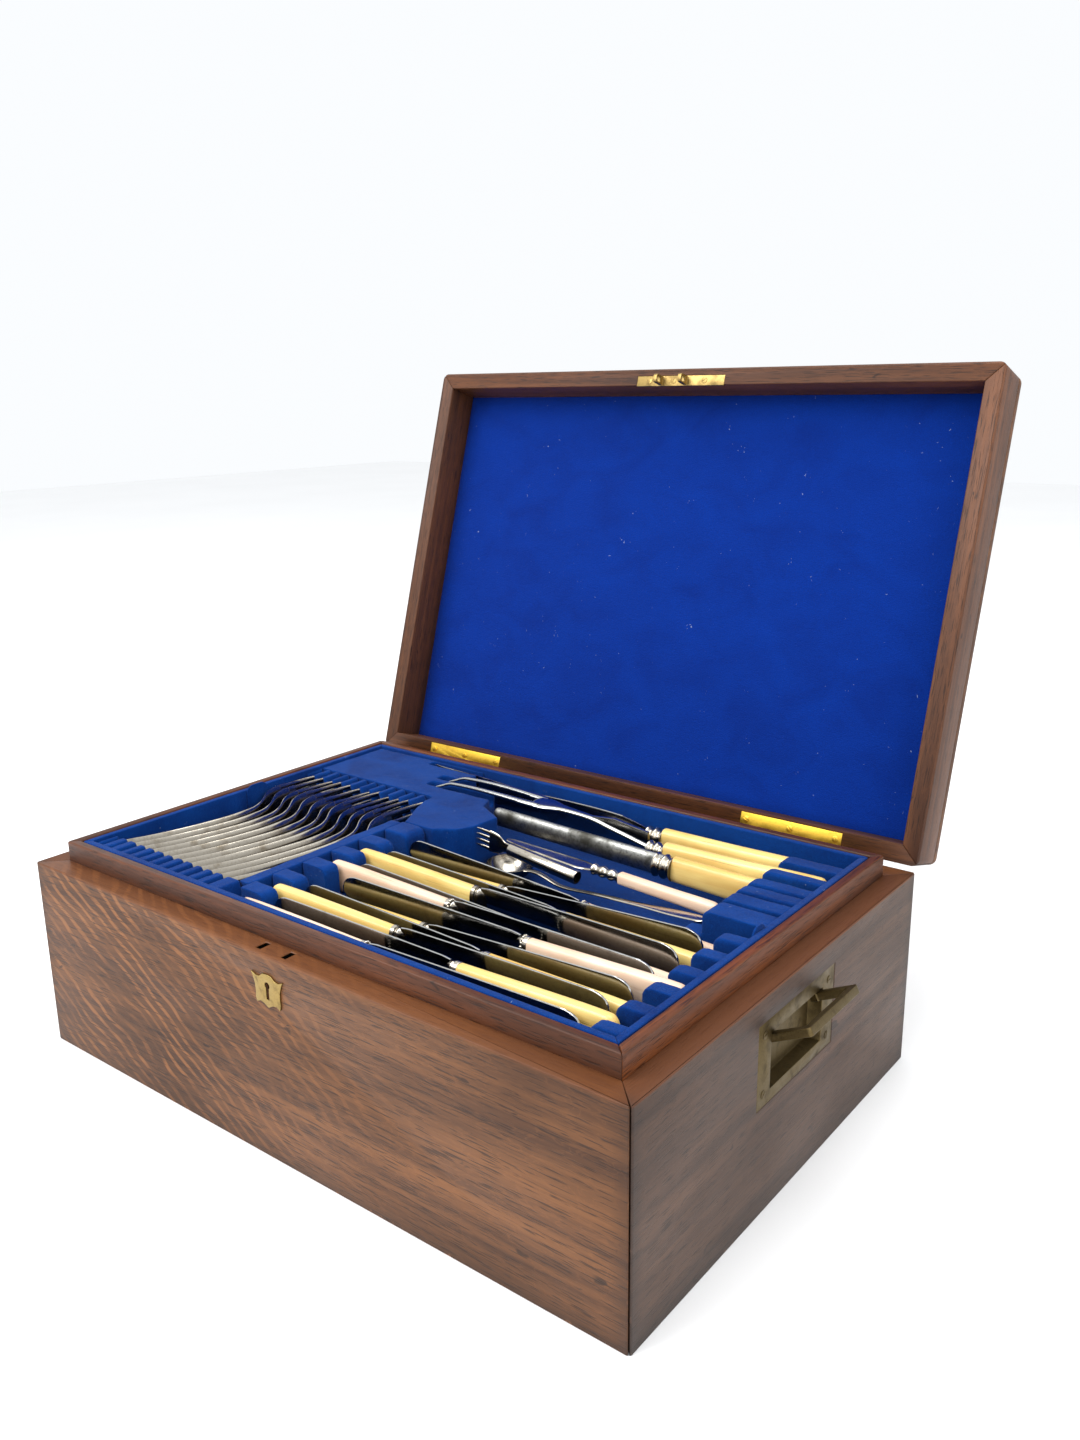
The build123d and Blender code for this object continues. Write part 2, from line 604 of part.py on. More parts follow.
def table_fork():
    """A table fork on edge: handle end at y = 0, tips at FORK_LONG, width along Z, bow along X."""
    stations = [(0, 0), (34, 2.4), (70, 6.4), (104, 9.2), (122, 6.6), (146, -1.6), (168, -3.4)]
    stations += [(188, -1.4), (FORK_LONG, 2.6)]
    thick = [1.8, 2.2, 2.8, 3.4, 3.0, 2.2, 1.7, 1.4, 1.1]
    strip = prism(bowed(stations, thick), Plane.XY.offset(-13), 26)
    half = [(0, 5.0), (4, 9.2), (14, 10.0), (50, 6.0), (100, 3.3), (128, 5.0), (139, 10.0), (158, 12.2)]
    half.append((FORK_LONG, 9.6))
    fork = strip & prism(both_sides(half), Plane.YZ.offset(-8), 24)
    for z in (-6.0, 0.0, 6.0):
        fork -= block((-9, 14), (157.0, FORK_LONG + 1), (z - 1.0, z + 1.0))
    return fork


def make_forks():
    """Twelve table forks nested on edge in the comb."""
    one = Rot(0, -FORK_LEAN, 0) * table_fork()
    save("table_forks", *[Pos(FORK_X0 + n * FORK_PITCH, FORK_FRONT_Y, FORK_Z) * one for n in range(FORKS)])


def knife_blade():
    """Blade and ringed bolster on edge, from the handle at x = 0 towards +X, cutting edge down."""
    tip_x = BLADE_LONG
    outline = [(5.0, -7.6), (5.0, 9.0), (12.0, 9.8), (tip_x - 12, 10.6), (tip_x - 5.6, 9.2)]
    outline += [(tip_x - 1.6, 4.8), (tip_x, -1.0), (tip_x - 1.4, -5.0), (tip_x - 5.0, -8.2)]
    outline.append((tip_x - 10, -TIP_DEEP))
    blade = prism(outline, Plane.XZ.offset(-BLADE_THICK / 2), BLADE_THICK)
    tall = [(0, 8.0), (2.2, 8.0), (2.2, 7.0), (4.2, 7.6), (8.0, 6.4)]
    wide = [(0, 4.2), (2.2, 4.2), (2.2, 3.2), (4.2, 3.6), (8.0, 1.2)]
    side = prism(both_sides(tall), Plane.XZ.offset(-6), 12)
    return blade + (side & prism(both_sides(wide), Plane.XY.offset(-10), 20))


def handle_bar(long, butt, neck, thick):
    """A handle on edge along -X from x = 0: flat oval, deeper at the butt, its corners eased."""
    half = [(0, neck), (-long + BUTT_EASE, butt), (-long + 1.8, butt * 0.86), (-long, butt * 0.5)]
    bar = prism(both_sides(half), Plane.XZ.offset(-thick / 2), thick)
    long_edges = [e for e in bar.edges() if e.length > long / 2]
    return chamfer(long_edges, min(thick, butt) * 0.27)


def knife_place(knife, turn):
    """Where a knife lies: its tip stays level while its butt may have sunk in the slot."""
    neck_x, butt_y, yaw, drop, _ = knife
    to_tip = BLADE_LONG if turn == 0 else -BLADE_LONG
    tip_y = butt_y + KNIFE_LONG * sin(radians(yaw)) * (1 if turn == 0 else -1)
    pitch = degrees(asin(drop / KNIFE_LONG))
    tip = Pos(neck_x + to_tip, tip_y, KNIFE_Z) * Rot(0, 0, turn + yaw)
    return tip * Rot(0, -pitch, 0) * Pos(-BLADE_LONG, 0, 0)


def make_knives():
    """Twelve table knives, their handles in two shades."""
    blade = knife_blade()
    handle = handle_bar(HANDLE_LONG, BUTT_HALF, 8.2, KNIFE_THICK)
    places = [(knife_place(knife, 0), knife[4]) for knife in LEFT_KNIVES]
    places += [(knife_place(knife, 180), knife[4]) for knife in RIGHT_KNIVES]
    save("knife_blades", *[place * blade for place, _ in places])
    save("knife_handles_yellow", *[place * handle for place, pale in places if not pale])
    save("knife_handles_pale", *[place * handle for place, pale in places if pale])


def ferrule(rings, radius, long):
    """A turned ferrule along -X from x = 0: rings of one radius with coves between."""
    step = long / (2 * rings)
    return turned([(-n * step, radius if n % 2 == 0 else radius * 0.74) for n in range(2 * rings + 1)])


def make_carving_set():
    """Carving knife, fork and steel along the back, handles to the right."""
    bolster = 13.0
    to_right = Rot(0, 0, 180)
    place = Pos(75.0, 125.4, 129.0) * Rot(0, 0, -1.0)
    outline = [(-12, -5.5), (-18, -11.0), (-70, -11.6), (-130, -9.0), (-180, -1.0), (-208, 8.0), (-220, 14.0)]
    outline += [(-176, 13.4), (-113, 10.8), (-65, 11.2), (-37, 10.3), (-17, 6.5), (-12, 5.5)]
    save("carving_knife", place * (prism(outline, Plane.XZ.offset(-1.1), 2.2) + ferrule(2, 7.4, bolster)))
    handles = [place * to_right * handle_bar(110.0, 9.6, 8.2, 10.4)]

    place = Pos(92.0, 100.2, 131.0)
    save("carving_fork", place * (carving_fork() + ferrule(2, 6.4, bolster)))
    handles.append(place * to_right * handle_bar(117.0, 9.8, 7.6, 10.0))

    place = Pos(111.0, 79.9, 131.0) * Rot(0, 1.8, 0)
    rod_long = 153.0
    nose_long = 4.0
    sections = []
    for along, share in ((-rod_long, 0.45), (-rod_long + nose_long, 1.0), (-bolster / 2, 1.0)):
        oval = [(4.0 * share * cos(radians(a)), 7.6 * share * sin(radians(a))) for a in range(0, 360, 30)]
        sections.append(Plane.YZ.offset(along) * make_face(Polyline(*oval, close=True)))
    rod = loft(sections, ruled=True)
    save("sharpening_steel", place * (rod + ferrule(2, 8.4, bolster)))
    handles.append(place * to_right * handle_bar(100.0, 10.4, 8.6, 9.2))
    save("carving_handles", *handles)


def carving_fork():
    """A two-pronged carving fork along -X from its bolster, bowed upward, its guard folded on the shank."""
    stations = [(-8, 0), (-42, 7.5), (-64, 12.0), (-110, 14.6), (-160, 16.0), (-184, 15.4)]
    stations += [(-197, 11.5), (-207, 7.6)]
    thick = [5.0, 4.6, 4.2, 3.8, 3.2, 2.6, 2.0, 1.2]
    above = [(x, z + t / 2) for (x, z), t in zip(stations, thick)]
    below = [(x, z - t / 2) for (x, z), t in zip(stations, thick)]
    strip = prism(above + below[::-1], Plane.XZ.offset(-12), 24)
    half = [(0, 3.2), (-64, 3.0), (-84, 4.2), (-100, 9.0), (-112, 10.2), (-207, 9.4)]
    fork = strip & prism(both_sides(half), Plane.XY.offset(-20), 60)
    crotch = [(-106, 0), (-114, 4.4), (-150, 6.0), (-212, 6.2)]
    fork -= prism(both_sides(crotch[1:]) + crotch[:1], Plane.XY.offset(-20), 60)
    guard = [(-14, 1.0), (-14, 12.0), (-42, 16.0), (-64, 13.6), (-64, 11.0), (-42, 6.0)]
    return fork + prism(guard, Plane.XZ.offset(-1.3), 2.6)


def make_server():
    """An ivory-handled server: turned ferrule and a narrowing flat blade."""
    place = Pos(90.0, 49.0, 130.0) * Rot(0, 0, -3.5) * Rot(0, 1.2, 0)
    half = [(-20, 2.6), (-34, 6.2), (-48, 5.8), (-96, 3.2), (-100, 1.4)]
    blade = prism(both_sides(half), Plane.XY.offset(-0.8), 1.6)
    save("server_blade", place * (blade + ferrule(3, 3.9, 22.0)))
    save("server_handle", place * Rot(0, 0, 180) * handle_bar(75.0, 4.6, 4.0, 7.6))


def make_spoon():
    """A serving spoon on the tray's floor, its stem rising to the right."""
    radius = 19.0
    wall = 1.4
    rim = -6.5
    shells = []
    for ball in (radius, radius - wall):
        levels = [rim, -ball * 0.6, -ball * 0.82, -ball * 0.95, -ball]
        rings = [(level, max(sqrt(ball * ball - level * level), 2.0)) for level in levels]
        shells.append(loft([Plane.XY.offset(z) * RegularPolygon(r, 16) for z, r in rings], ruled=True))
    bowl = shells[0] - shells[1]
    stations = [(15.6, rim - 0.6), (28, rim + 0.4), (50, rim - 2.6), (80, rim + 1.2), (140, rim + 8.6)]
    stations.append((174, rim + 12.8))
    thick = [1.4, 2.4, 2.2, 1.8, 1.8, 1.6]
    above = [(x, z + t / 2) for (x, z), t in zip(stations, thick)]
    below = [(x, z - t / 2) for (x, z), t in zip(stations, thick)]
    half = [(14, 4.4), (24, 2.2), (60, 1.8), (120, 2.8), (152, 4.8), (168, 4.4), (174, 2.2)]
    stem = prism(above + below[::-1], Plane.XZ.offset(-6), 12)
    stem &= prism(both_sides(half), Plane.XY.offset(-20), 40)
    place = Pos(-5.5, 52.5, TRAY_FLOOR + 0.1 + radius) * Rot(0, 0, -8.3)
    save("serving_spoon", place * (bowl + stem))


def make_tube_fork():
    """A small fork on edge whose handle is an open tube."""
    outer = 4.6
    tube_long = 58.0
    tube = Pos(-tube_long / 2, 0, 0) * ALONG_X * round_bar(outer, tube_long, 16)
    tube -= Pos(-20.0, 0, 0) * ALONG_X * round_bar(outer - 0.9, 40.0, 16)
    half = [(-54, 3.4), (-62, 3.6), (-68, 7.0), (-74, 8.0), (-88, 7.2)]
    head = prism(both_sides(half), Plane.XZ.offset(-0.8), 1.6)
    for z in (-3.9, 0.0, 3.9):
        head -= Pos(-82.0, 0, z) * Box(14.0, 4.0, 1.3)
    place = Pos(63.0, 38.5, 127.0) * Rot(0, 0, -1.5) * Rot(0, 6.0, 0)
    save("tube_fork", place * (tube + head))


make_boards()
make_linings()
make_lock()
make_hinges()
make_handles()
make_lid()
make_tray_box()
make_racks()
make_forks()
make_knives()
make_carving_set()
make_server()
make_spoon()
make_tube_fork()
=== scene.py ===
"""Looks of the oak cutlery chest: timber, baize, brass and cutlery fitted over the frame's own solids.

Lengths are in millimetres where a table or a field says so and in metres everywhere else. +Z is up, +X runs
to the right of the keyhole side and +Y towards the hinges, as in the frame.
"""

from __future__ import annotations

import json
import logging
import math
from dataclasses import dataclass, field
from enum import Enum
from typing import Callable, Sequence

import bmesh
import bpy
import numpy as np
from mathutils import Matrix, Vector, noise
from mathutils.bvhtree import BVHTree

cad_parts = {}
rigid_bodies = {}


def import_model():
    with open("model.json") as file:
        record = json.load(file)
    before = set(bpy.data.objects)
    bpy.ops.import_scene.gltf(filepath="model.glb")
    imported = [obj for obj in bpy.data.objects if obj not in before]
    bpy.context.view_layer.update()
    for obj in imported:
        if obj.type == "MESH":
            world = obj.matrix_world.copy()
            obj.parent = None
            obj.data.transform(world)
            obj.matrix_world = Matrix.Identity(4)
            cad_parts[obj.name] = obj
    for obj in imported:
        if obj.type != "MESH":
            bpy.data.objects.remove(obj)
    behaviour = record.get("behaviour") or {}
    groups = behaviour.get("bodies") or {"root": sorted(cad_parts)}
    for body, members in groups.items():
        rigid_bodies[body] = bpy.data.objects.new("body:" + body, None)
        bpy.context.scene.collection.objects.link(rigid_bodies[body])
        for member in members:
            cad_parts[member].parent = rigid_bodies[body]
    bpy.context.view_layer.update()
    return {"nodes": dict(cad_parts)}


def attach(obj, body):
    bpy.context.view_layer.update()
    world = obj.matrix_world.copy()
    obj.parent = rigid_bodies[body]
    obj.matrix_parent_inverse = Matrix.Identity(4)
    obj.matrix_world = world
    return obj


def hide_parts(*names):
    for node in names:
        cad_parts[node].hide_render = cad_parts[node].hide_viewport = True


LOG = logging.getLogger("cutlery_chest")

Triple = tuple[float, float, float]
Colour = Triple
Table = Sequence[tuple[float, float]]
Carry = Callable[[float, float, float], Vector]
Socket = bpy.types.NodeSocket
Material = bpy.types.Material
Mesh = bpy.types.Mesh
NodeTree = bpy.types.NodeTree
Piece = bpy.types.Object

MM = 0.001
LEVEL: Table = ((0.0, 0.0), (1.0, 0.0))

# How far the lid stands open, in degrees, and the hinges' line, in millimetres.
LID_OPEN = 106.7
AXIS_Y = 165.35
AXIS_Z = 132.2

# Heights of the ledge round the box and of the shut lid's underside, in millimetres.
LEDGE_Z = 132.0
LID_Z0 = 132.4

# Places of the hinges and their screws, in millimetres, and how far a screw may be turned, in radians.
HINGE_X = 148.5
HINGE_SCREW_Y = 156.9
HINGE_SCREWS = (-33.5, 0.0, 33.5)
SCREW_TURN = (0.0, 0.0, 3.1)

# Points closer than this, in metres, are one; faces bent by less than this, in degrees, are flat.
WELD = 2e-6
FLAT = 0.5

# How often a bevel is halved, and how closely its faces are tried, in metres and in points along a side.
EASE_TRIES = 4
SAMPLE_STEP = 0.008
MOST_SAMPLES = 16


def srgb(red: int, green: int, blue: int) -> Colour:
    """Turns a colour as seen on a screen into the linear values that shaders use."""
    parts = [c / 255.0 for c in (red, green, blue)]
    return tuple(p / 12.92 if p <= 0.04045 else ((p + 0.055) / 1.055) ** 2.4 for p in parts)


class Body(Enum):
    """The moving bodies that pieces ride on."""

    CASE = "case"
    LID = "lid"
    TRAY = "tray"
    BAIL_RIGHT = "bail_right"
    BAIL_LEFT = "bail_left"


class Slot(Enum):
    """The record's material slots."""

    OAK = "oak"
    LID_OAK = "lid_oak"
    DARK_OAK = "dark_oak"
    FELT = "blue_felt"
    BAIZE = "tray_baize"
    BRASS = "hinge_brass"
    AGED = "aged_brass"
    STEEL = "blade_steel"
    PLATE = "silver_plate"
    YELLOW = "yellow_handle"
    PALE = "pale_handle"


class Grain(Enum):
    """The axis that a board's grain runs along."""

    ALONG_X = 0
    ALONG_Y = 1


# ------------------------------------------------------------------ finishes


class Shade:
    """A material's node tree, laid down one node at a time."""

    def __init__(self, name: str) -> None:
        """Starts a material with its principled shader.

        Args:
            name: The material's name.
        """
        self.material = bpy.data.materials.new(name)
        self.material.use_nodes = True
        self.nodes = self.material.node_tree.nodes
        self.links = self.material.node_tree.links
        self.shader = self.nodes["Principled BSDF"]

    def feed(self, socket: Socket, value: object) -> None:
        """Links a socket to an input, or sets the input's own value.

        Args:
            socket: The input to fill.
            value: A socket to link from, a colour or a number.
        """
        if isinstance(value, Socket):
            self.links.new(value, socket)
        elif isinstance(value, tuple) and socket.type == "RGBA":
            socket.default_value = (*value, 1.0)
        else:
            socket.default_value = value

    def place(self, stretch: Triple, tilt: float = 0.0, shift: float = 0.0) -> Socket:
        """Object coordinates, turned back with a tilted lid and then stretched.

        Args:
            stretch: How many times finer the pattern is along each axis.
            tilt: Degrees about X by which the coordinates are turned first.
            shift: How far the pattern is slid, so that no two boards match.

        Returns:
            The vector socket for a texture.
        """
        source = self.nodes.new("ShaderNodeTexCoord").outputs["Object"]
        turned = self.nodes.new("ShaderNodeMapping")
        turned.inputs["Rotation"].default_value = (math.radians(tilt), 0.0, 0.0)
        turned.inputs["Location"].default_value = (shift, shift * 0.7, shift * 1.3)
        stretched = self.nodes.new("ShaderNodeMapping")
        stretched.inputs["Scale"].default_value = stretch
        self.links.new(source, turned.inputs["Vector"])
        self.links.new(turned.outputs["Vector"], stretched.inputs["Vector"])
        return stretched.outputs["Vector"]

    def noise(self, vector: Socket, detail: float = 3.0, warp: float = 0.0) -> Socket:
        """A noise pattern from 0 to 1.

        Args:
            vector: Where the pattern is read.
            detail: How many finer layers it has.
            warp: How far it is distorted.

        Returns:
            The pattern.
        """
        node = self.nodes.new("ShaderNodeTexNoise")
        node.inputs["Scale"].default_value = 1.0
        node.inputs["Detail"].default_value = detail
        node.inputs["Distortion"].default_value = warp
        self.links.new(vector, node.inputs["Vector"])
        return node.outputs[0]

    def ramp(self, value: Socket, stops: Sequence[tuple[float, object]]) -> Socket:
        """Maps a pattern to colours or greys through stops in rising order.

        Args:
            value: The pattern to map.
            stops: Places and what they become.

        Returns:
            The mapped colour or grey.
        """
        node = self.nodes.new("ShaderNodeValToRGB")
        elements = node.color_ramp.elements
        elements[0].position = stops[0][0]
        elements[1].position = stops[-1][0]
        for position, _ in stops[1:-1]:
            elements.new(position)
        for element, (_, colour) in zip(elements, stops):
            shown = colour if isinstance(colour, tuple) else (colour, colour, colour)
            element.color = (*shown, 1.0)
        self.links.new(value, node.inputs[0])
        return node.outputs[0]

    def mix(self, share: object, first: object, second: object) -> Socket:
        """Lays one colour over another by a share that may be a pattern.

        Args:
            share: How much of the second colour shows.
            first: The colour beneath.
            second: The colour laid over it.

        Returns:
            The mixed colour.
        """
        node = self.nodes.new("ShaderNodeMix")
        node.data_type = "RGBA"
        self.feed(node.inputs[0], share)
        self.feed(node.inputs[6], first)
        self.feed(node.inputs[7], second)
        return node.outputs[2]

    def math(self, operation: str, first: object, second: object = 0.0) -> Socket:
        """One sum on two values.

        Args:
            operation: The node's name for the sum.
            first: The first value.
            second: The second value.

        Returns:
            The result.
        """
        node = self.nodes.new("ShaderNodeMath")
        node.operation = operation
        self.feed(node.inputs[0], first)
        self.feed(node.inputs[1], second)
        return node.outputs[0]

    def near(self, axis: int, place: float, reach: float) -> Socket:
        """A value of 1 at a plane across an axis that falls to 0 a short way from it.

        Args:
            axis: 0, 1 or 2 for X, Y or Z.
            place: Where the plane crosses the axis, in metres.
            reach: How far away the value is 0, in metres.

        Returns:
            The value.
        """
        split = self.nodes.new("ShaderNodeSeparateXYZ")
        self.links.new(self.nodes.new("ShaderNodeTexCoord").outputs["Object"], split.inputs[0])
        away = self.math("ABSOLUTE", self.math("SUBTRACT", split.outputs[axis], place))
        node = self.nodes.new("ShaderNodeMapRange")
        node.interpolation_type = "SMOOTHSTEP"
        self.feed(node.inputs["Value"], away)
        for name, value in (("From Min", 0.0), ("From Max", reach), ("To Min", 1.0), ("To Max", 0.0)):
            node.inputs[name].default_value = value
        return node.outputs[0]

    def bands(self, vector: Socket, fine: float, sway: float, broad: float) -> Socket:
        """Slanting bands that sway, like the rays of quarter-sawn oak.

        Args:
            vector: Where the pattern is read.
            fine: How close the bands are.
            sway: How far they are pushed aside.
            broad: How broad their swaying is against their spacing.

        Returns:
            The pattern from 0 to 1.
        """
        node = self.nodes.new("ShaderNodeTexWave")
        node.bands_direction = "DIAGONAL"
        wanted = {"Scale": fine, "Distortion": sway, "Detail": 2.0, "Detail Scale": broad}
        for name, value in wanted.items():
            node.inputs[name].default_value = value
        self.links.new(vector, node.inputs["Vector"])
        return node.outputs[1]

    def fading(self, tilt: float, shift: float) -> Socket:
        """A broad, slow pattern that fades others in and out.

        Args:
            tilt: Degrees about X by which the coordinates are turned first.
            shift: How far the pattern is slid.

        Returns:
            The pattern.
        """
        return self.noise(self.place((26.0, 26.0, 38.0), tilt, shift + 0.6), 3.0, 0.4)

    def standing(self) -> Socket:
        """A value of 1 on faces that stand upright and 0 on those that look up; it masks the painted shade on
        upright metal.

        Returns:
            The value, with slopes in between.
        """
        split = self.nodes.new("ShaderNodeSeparateXYZ")
        self.links.new(self.nodes.new("ShaderNodeTexCoord").outputs["Normal"], split.inputs[0])
        node = self.nodes.new("ShaderNodeMapRange")
        self.feed(node.inputs["Value"], split.outputs[2])
        for name, value in (("From Min", 0.15), ("From Max", 0.75), ("To Min", 1.0), ("To Max", 0.0)):
            node.inputs[name].default_value = value
        return node.outputs[0]

    def finish(self, colour: object, roughness: object, height: object, strength: float, deep: float) -> None:
        """Feeds the shader its colour, its roughness and a bump from a height pattern.

        Args:
            colour: The base colour.
            roughness: The roughness.
            height: The height pattern.
            strength: How strong the bump is.
            deep: How deep the pattern is, in metres.
        """
        self.feed(self.shader.inputs["Base Color"], colour)
        self.feed(self.shader.inputs["Roughness"], roughness)
        bump = self.nodes.new("ShaderNodeBump")
        bump.inputs["Strength"].default_value = strength
        bump.inputs["Distance"].default_value = deep
        self.feed(bump.inputs["Height"], height)
        self.links.new(bump.outputs[0], self.shader.inputs["Normal"])

    def set(self, **values: float) -> None:
        """Sets constants on the shader's own sockets, underscores standing for spaces."""
        for name, value in values.items():
            self.shader.inputs[name.replace("_", " ")].default_value = value


@dataclass(frozen=True)
class OakFinish:
    """Old polished oak: growth lines, ray figure, pores, stains and patchy darkening towards the foot and the
    corners.
    """

    name: str
    pale: Colour
    deep: Colour
    grain: Grain = Grain.ALONG_X
    figure: float = 0.35
    tilt: float = 0.0
    seed: float = 0.0
    gloss: float = 0.48
    # Planes towards which the wood is darkened in patches: axis, place and reach in metres.
    darkening: tuple[tuple[int, float, float], ...] = ()
    scuffs: tuple[tuple[int, float, float], ...] = ()
    ledge: Colour | None = None
    waves: float = 0.0

    def pattern(self, shade: Shade, along: float, across: float, detail: float, warp: float = 0.0) -> Socket:
        """Noise drawn out along the grain.

        Args:
            shade: The node tree to draw in.
            along: How fine the pattern is along the grain.
            across: How fine it is across the grain.
            detail: How many finer layers it has.
            warp: How far it is distorted.

        Returns:
            The pattern.
        """
        stretch = [across, across, across]
        stretch[self.grain.value] = along
        return shade.noise(shade.place(tuple(stretch), self.tilt, self.seed), detail, warp)

    def build(self) -> Material:
        """Builds the material.

        Returns:
            The material, its constants set on the shader.
        """
        shade = Shade(self.name)
        middle = tuple((a + b) / 2 for a, b in zip(self.pale, self.deep))
        dark = tuple(c * 0.35 for c in self.deep)
        fleck = tuple(min(c * 1.45, 1.0) for c in self.pale)
        rings = self.pattern(shade, 2.6, 110.0, 5.0, 0.4)
        streaks = self.pattern(shade, 9.0, 420.0, 3.0)
        pores = self.pattern(shade, 70.0, 1500.0, 1.0)
        rays = self.pattern(shade, 42.0, 170.0, 2.0, 1.8)
        patches = self.pattern(shade, 5.0, 12.0, 3.0, 0.3)
        colour = shade.ramp(rings, [(0.32, self.deep), (0.5, middle), (0.68, self.pale)])
        colour = shade.mix(shade.ramp(streaks, [(0.5, 0.0), (0.75, 0.6)]), colour, self.deep)
        ray_share = shade.ramp(rays, [(0.5, 0.0), (0.545, self.figure), (0.6, 0.0)])
        colour = shade.mix(ray_share, colour, fleck)
        colour = shade.mix(shade.ramp(patches, [(0.32, 0.5), (0.6, 0.0)]), colour, dark)
        if self.waves > 0:
            flame = shade.bands(shade.place((0.62, 1.0, 1.0), self.tilt, self.seed), 62.0, 11.0, 0.3)
            lines = shade.ramp(flame, [(0.62, 0.0), (0.88, self.waves)])
            broken = shade.ramp(shade.fading(self.tilt, self.seed), [(0.36, 0.15), (0.56, 1.0)])
            share = shade.math("MULTIPLY", shade.math("MULTIPLY", lines, broken), shade.near(0, -0.16, 0.34))
            colour = shade.mix(share, colour, fleck)
        dents = self.pattern(shade, 60.0, 190.0, 2.0, 0.8)
        colour = shade.mix(shade.ramp(dents, [(0.24, 0.8), (0.3, 0.0)]), colour, dark)
        pore_share = shade.ramp(pores, [(0.34, 0.75), (0.43, 0.0)])
        colour = shade.mix(pore_share, colour, dark)
        if self.ledge is not None:
            on_ledge = shade.near(2, LEDGE_Z * MM, 0.0016)
            colour = shade.mix(shade.math("MULTIPLY", on_ledge, 0.62), colour, self.ledge)
        # Darker in patches towards each given plane, at the foot and the corners of a board.
        for axis, place, reach in self.darkening:
            share = shade.math("MULTIPLY", shade.near(axis, place, reach), patches)
            colour = shade.mix(share, colour, dark)
        chips = shade.noise(shade.place((170.0, 170.0, 170.0), shift=self.seed), 4.0, 0.5)
        rub = shade.ramp(chips, [(0.6, 0.0), (0.68, 0.5)])
        bare = tuple(min(c * 1.9 + 0.02, 1.0) for c in self.pale)
        for axis, place, reach in self.scuffs:
            colour = shade.mix(shade.math("MULTIPLY", shade.near(axis, place, reach), rub), colour, bare)
        roughness = shade.ramp(patches, [(0.3, self.gloss + 0.14), (0.7, self.gloss - 0.06)])
        height = shade.math("SUBTRACT", streaks, pore_share)
        shade.finish(colour, roughness, height, 0.4, 0.00025)
        shade.set(Coat_Weight=0.04, Coat_Roughness=0.3, Specular_IOR_Level=0.3)
        return shade.material


@dataclass(frozen=True)
class BaizeFinish:
    """Woollen baize: fibres, a brushed nap that shifts in tone, worn pale places and lint."""

    name: str
    deep: Colour
    pale: Colour
    lint: Colour = (0.32, 0.38, 0.5)
    wear: float = 0.35
    tilt: float = 0.0

    def build(self) -> Material:
        """Builds the material.

        Returns:
            The material, its constants set on the shader.
        """
        shade = Shade(self.name)
        fibres = shade.noise(shade.place((1900.0, 1900.0, 1900.0), self.tilt), 2.0, 0.6)
        weave = shade.noise(shade.place((420.0, 520.0, 420.0), self.tilt), 3.0, 0.8)
        nap = shade.noise(shade.place((22.0, 30.0, 22.0), self.tilt), 4.0, 0.9)
        specks = shade.noise(shade.place((310.0, 260.0, 310.0), self.tilt, 3.1), 1.0, 2.0)
        middle = tuple((a + b) / 2 for a, b in zip(self.deep, self.pale))
        colour = shade.ramp(nap, [(0.25, self.deep), (0.5, middle), (0.85, self.pale)])
        colour = shade.mix(shade.ramp(weave, [(0.4, 0.0), (0.75, self.wear)]), colour, self.pale)
        shadow = tuple(c * 0.4 for c in self.deep)
        colour = shade.mix(shade.ramp(fibres, [(0.35, 0.45), (0.62, 0.0)]), colour, shadow)
        colour = shade.mix(shade.ramp(specks, [(0.79, 0.0), (0.81, 0.6)]), colour, self.lint)
        height = shade.math("ADD", fibres, shade.math("MULTIPLY", weave, 0.8))
        shade.finish(colour, 0.95, height, 0.75, 0.0005)
        shade.set(Sheen_Weight=0.06, Sheen_Roughness=0.4, Specular_IOR_Level=0.1)
        return shade.material


@dataclass(frozen=True)
class MetalFinish:
    """Metal with drifting polish, tarnish in patches, fine scratches along its length and painted shade on
    its upright faces.
    """

    name: str
    bright: Colour
    dull: Colour
    polish: float = 0.18
    tarnish: float = 0.3
    scratch: float = 0.15
    scale: float = 60.0
    mottle: float = 0.0
    side_shade: float = 0.0

    def build(self) -> Material:
        """Builds the material.

        Returns:
            The material, its constants set on the shader.
        """
        shade = Shade(self.name)
        cloud = shade.noise(shade.place((self.scale, self.scale, self.scale)), 5.0, 0.5)
        fine = shade.noise(shade.place((self.scale * 9, self.scale * 9, self.scale * 9)), 3.0, 0.2)
        lines = shade.noise(shade.place((25.0, 1400.0, 1400.0)), 2.0)
        shares = [(0.62 - 0.3 * self.tarnish, 0.0), (0.78 - 0.2 * self.tarnish, min(1.0, 0.5 + self.tarnish))]
        stain = shade.ramp(cloud, shares)
        colour = shade.mix(stain, self.bright, self.dull)
        spots = shade.ramp(fine, [(0.5, 0.0), (0.72, 0.25 + self.mottle)])
        colour = shade.mix(spots, colour, self.dull)
        # Painted shade: upright faces are darkened towards a dim copy of the dull colour, and the tops stay
        # bright.
        if self.side_shade > 0:
            side_shade_colour = tuple(c * 0.22 for c in self.dull)
            colour = shade.mix(shade.math("MULTIPLY", shade.standing(), self.side_shade), colour, side_shade_colour)
        rough = shade.ramp(
            cloud, [(0.3, self.polish), (0.75, min(1.0, self.polish + 0.12 + 0.3 * self.tarnish))]
        )
        shade.finish(colour, rough, shade.math("ADD", lines, fine), self.scratch, 0.00008)
        shade.set(Metallic=1.0)
        return shade.material


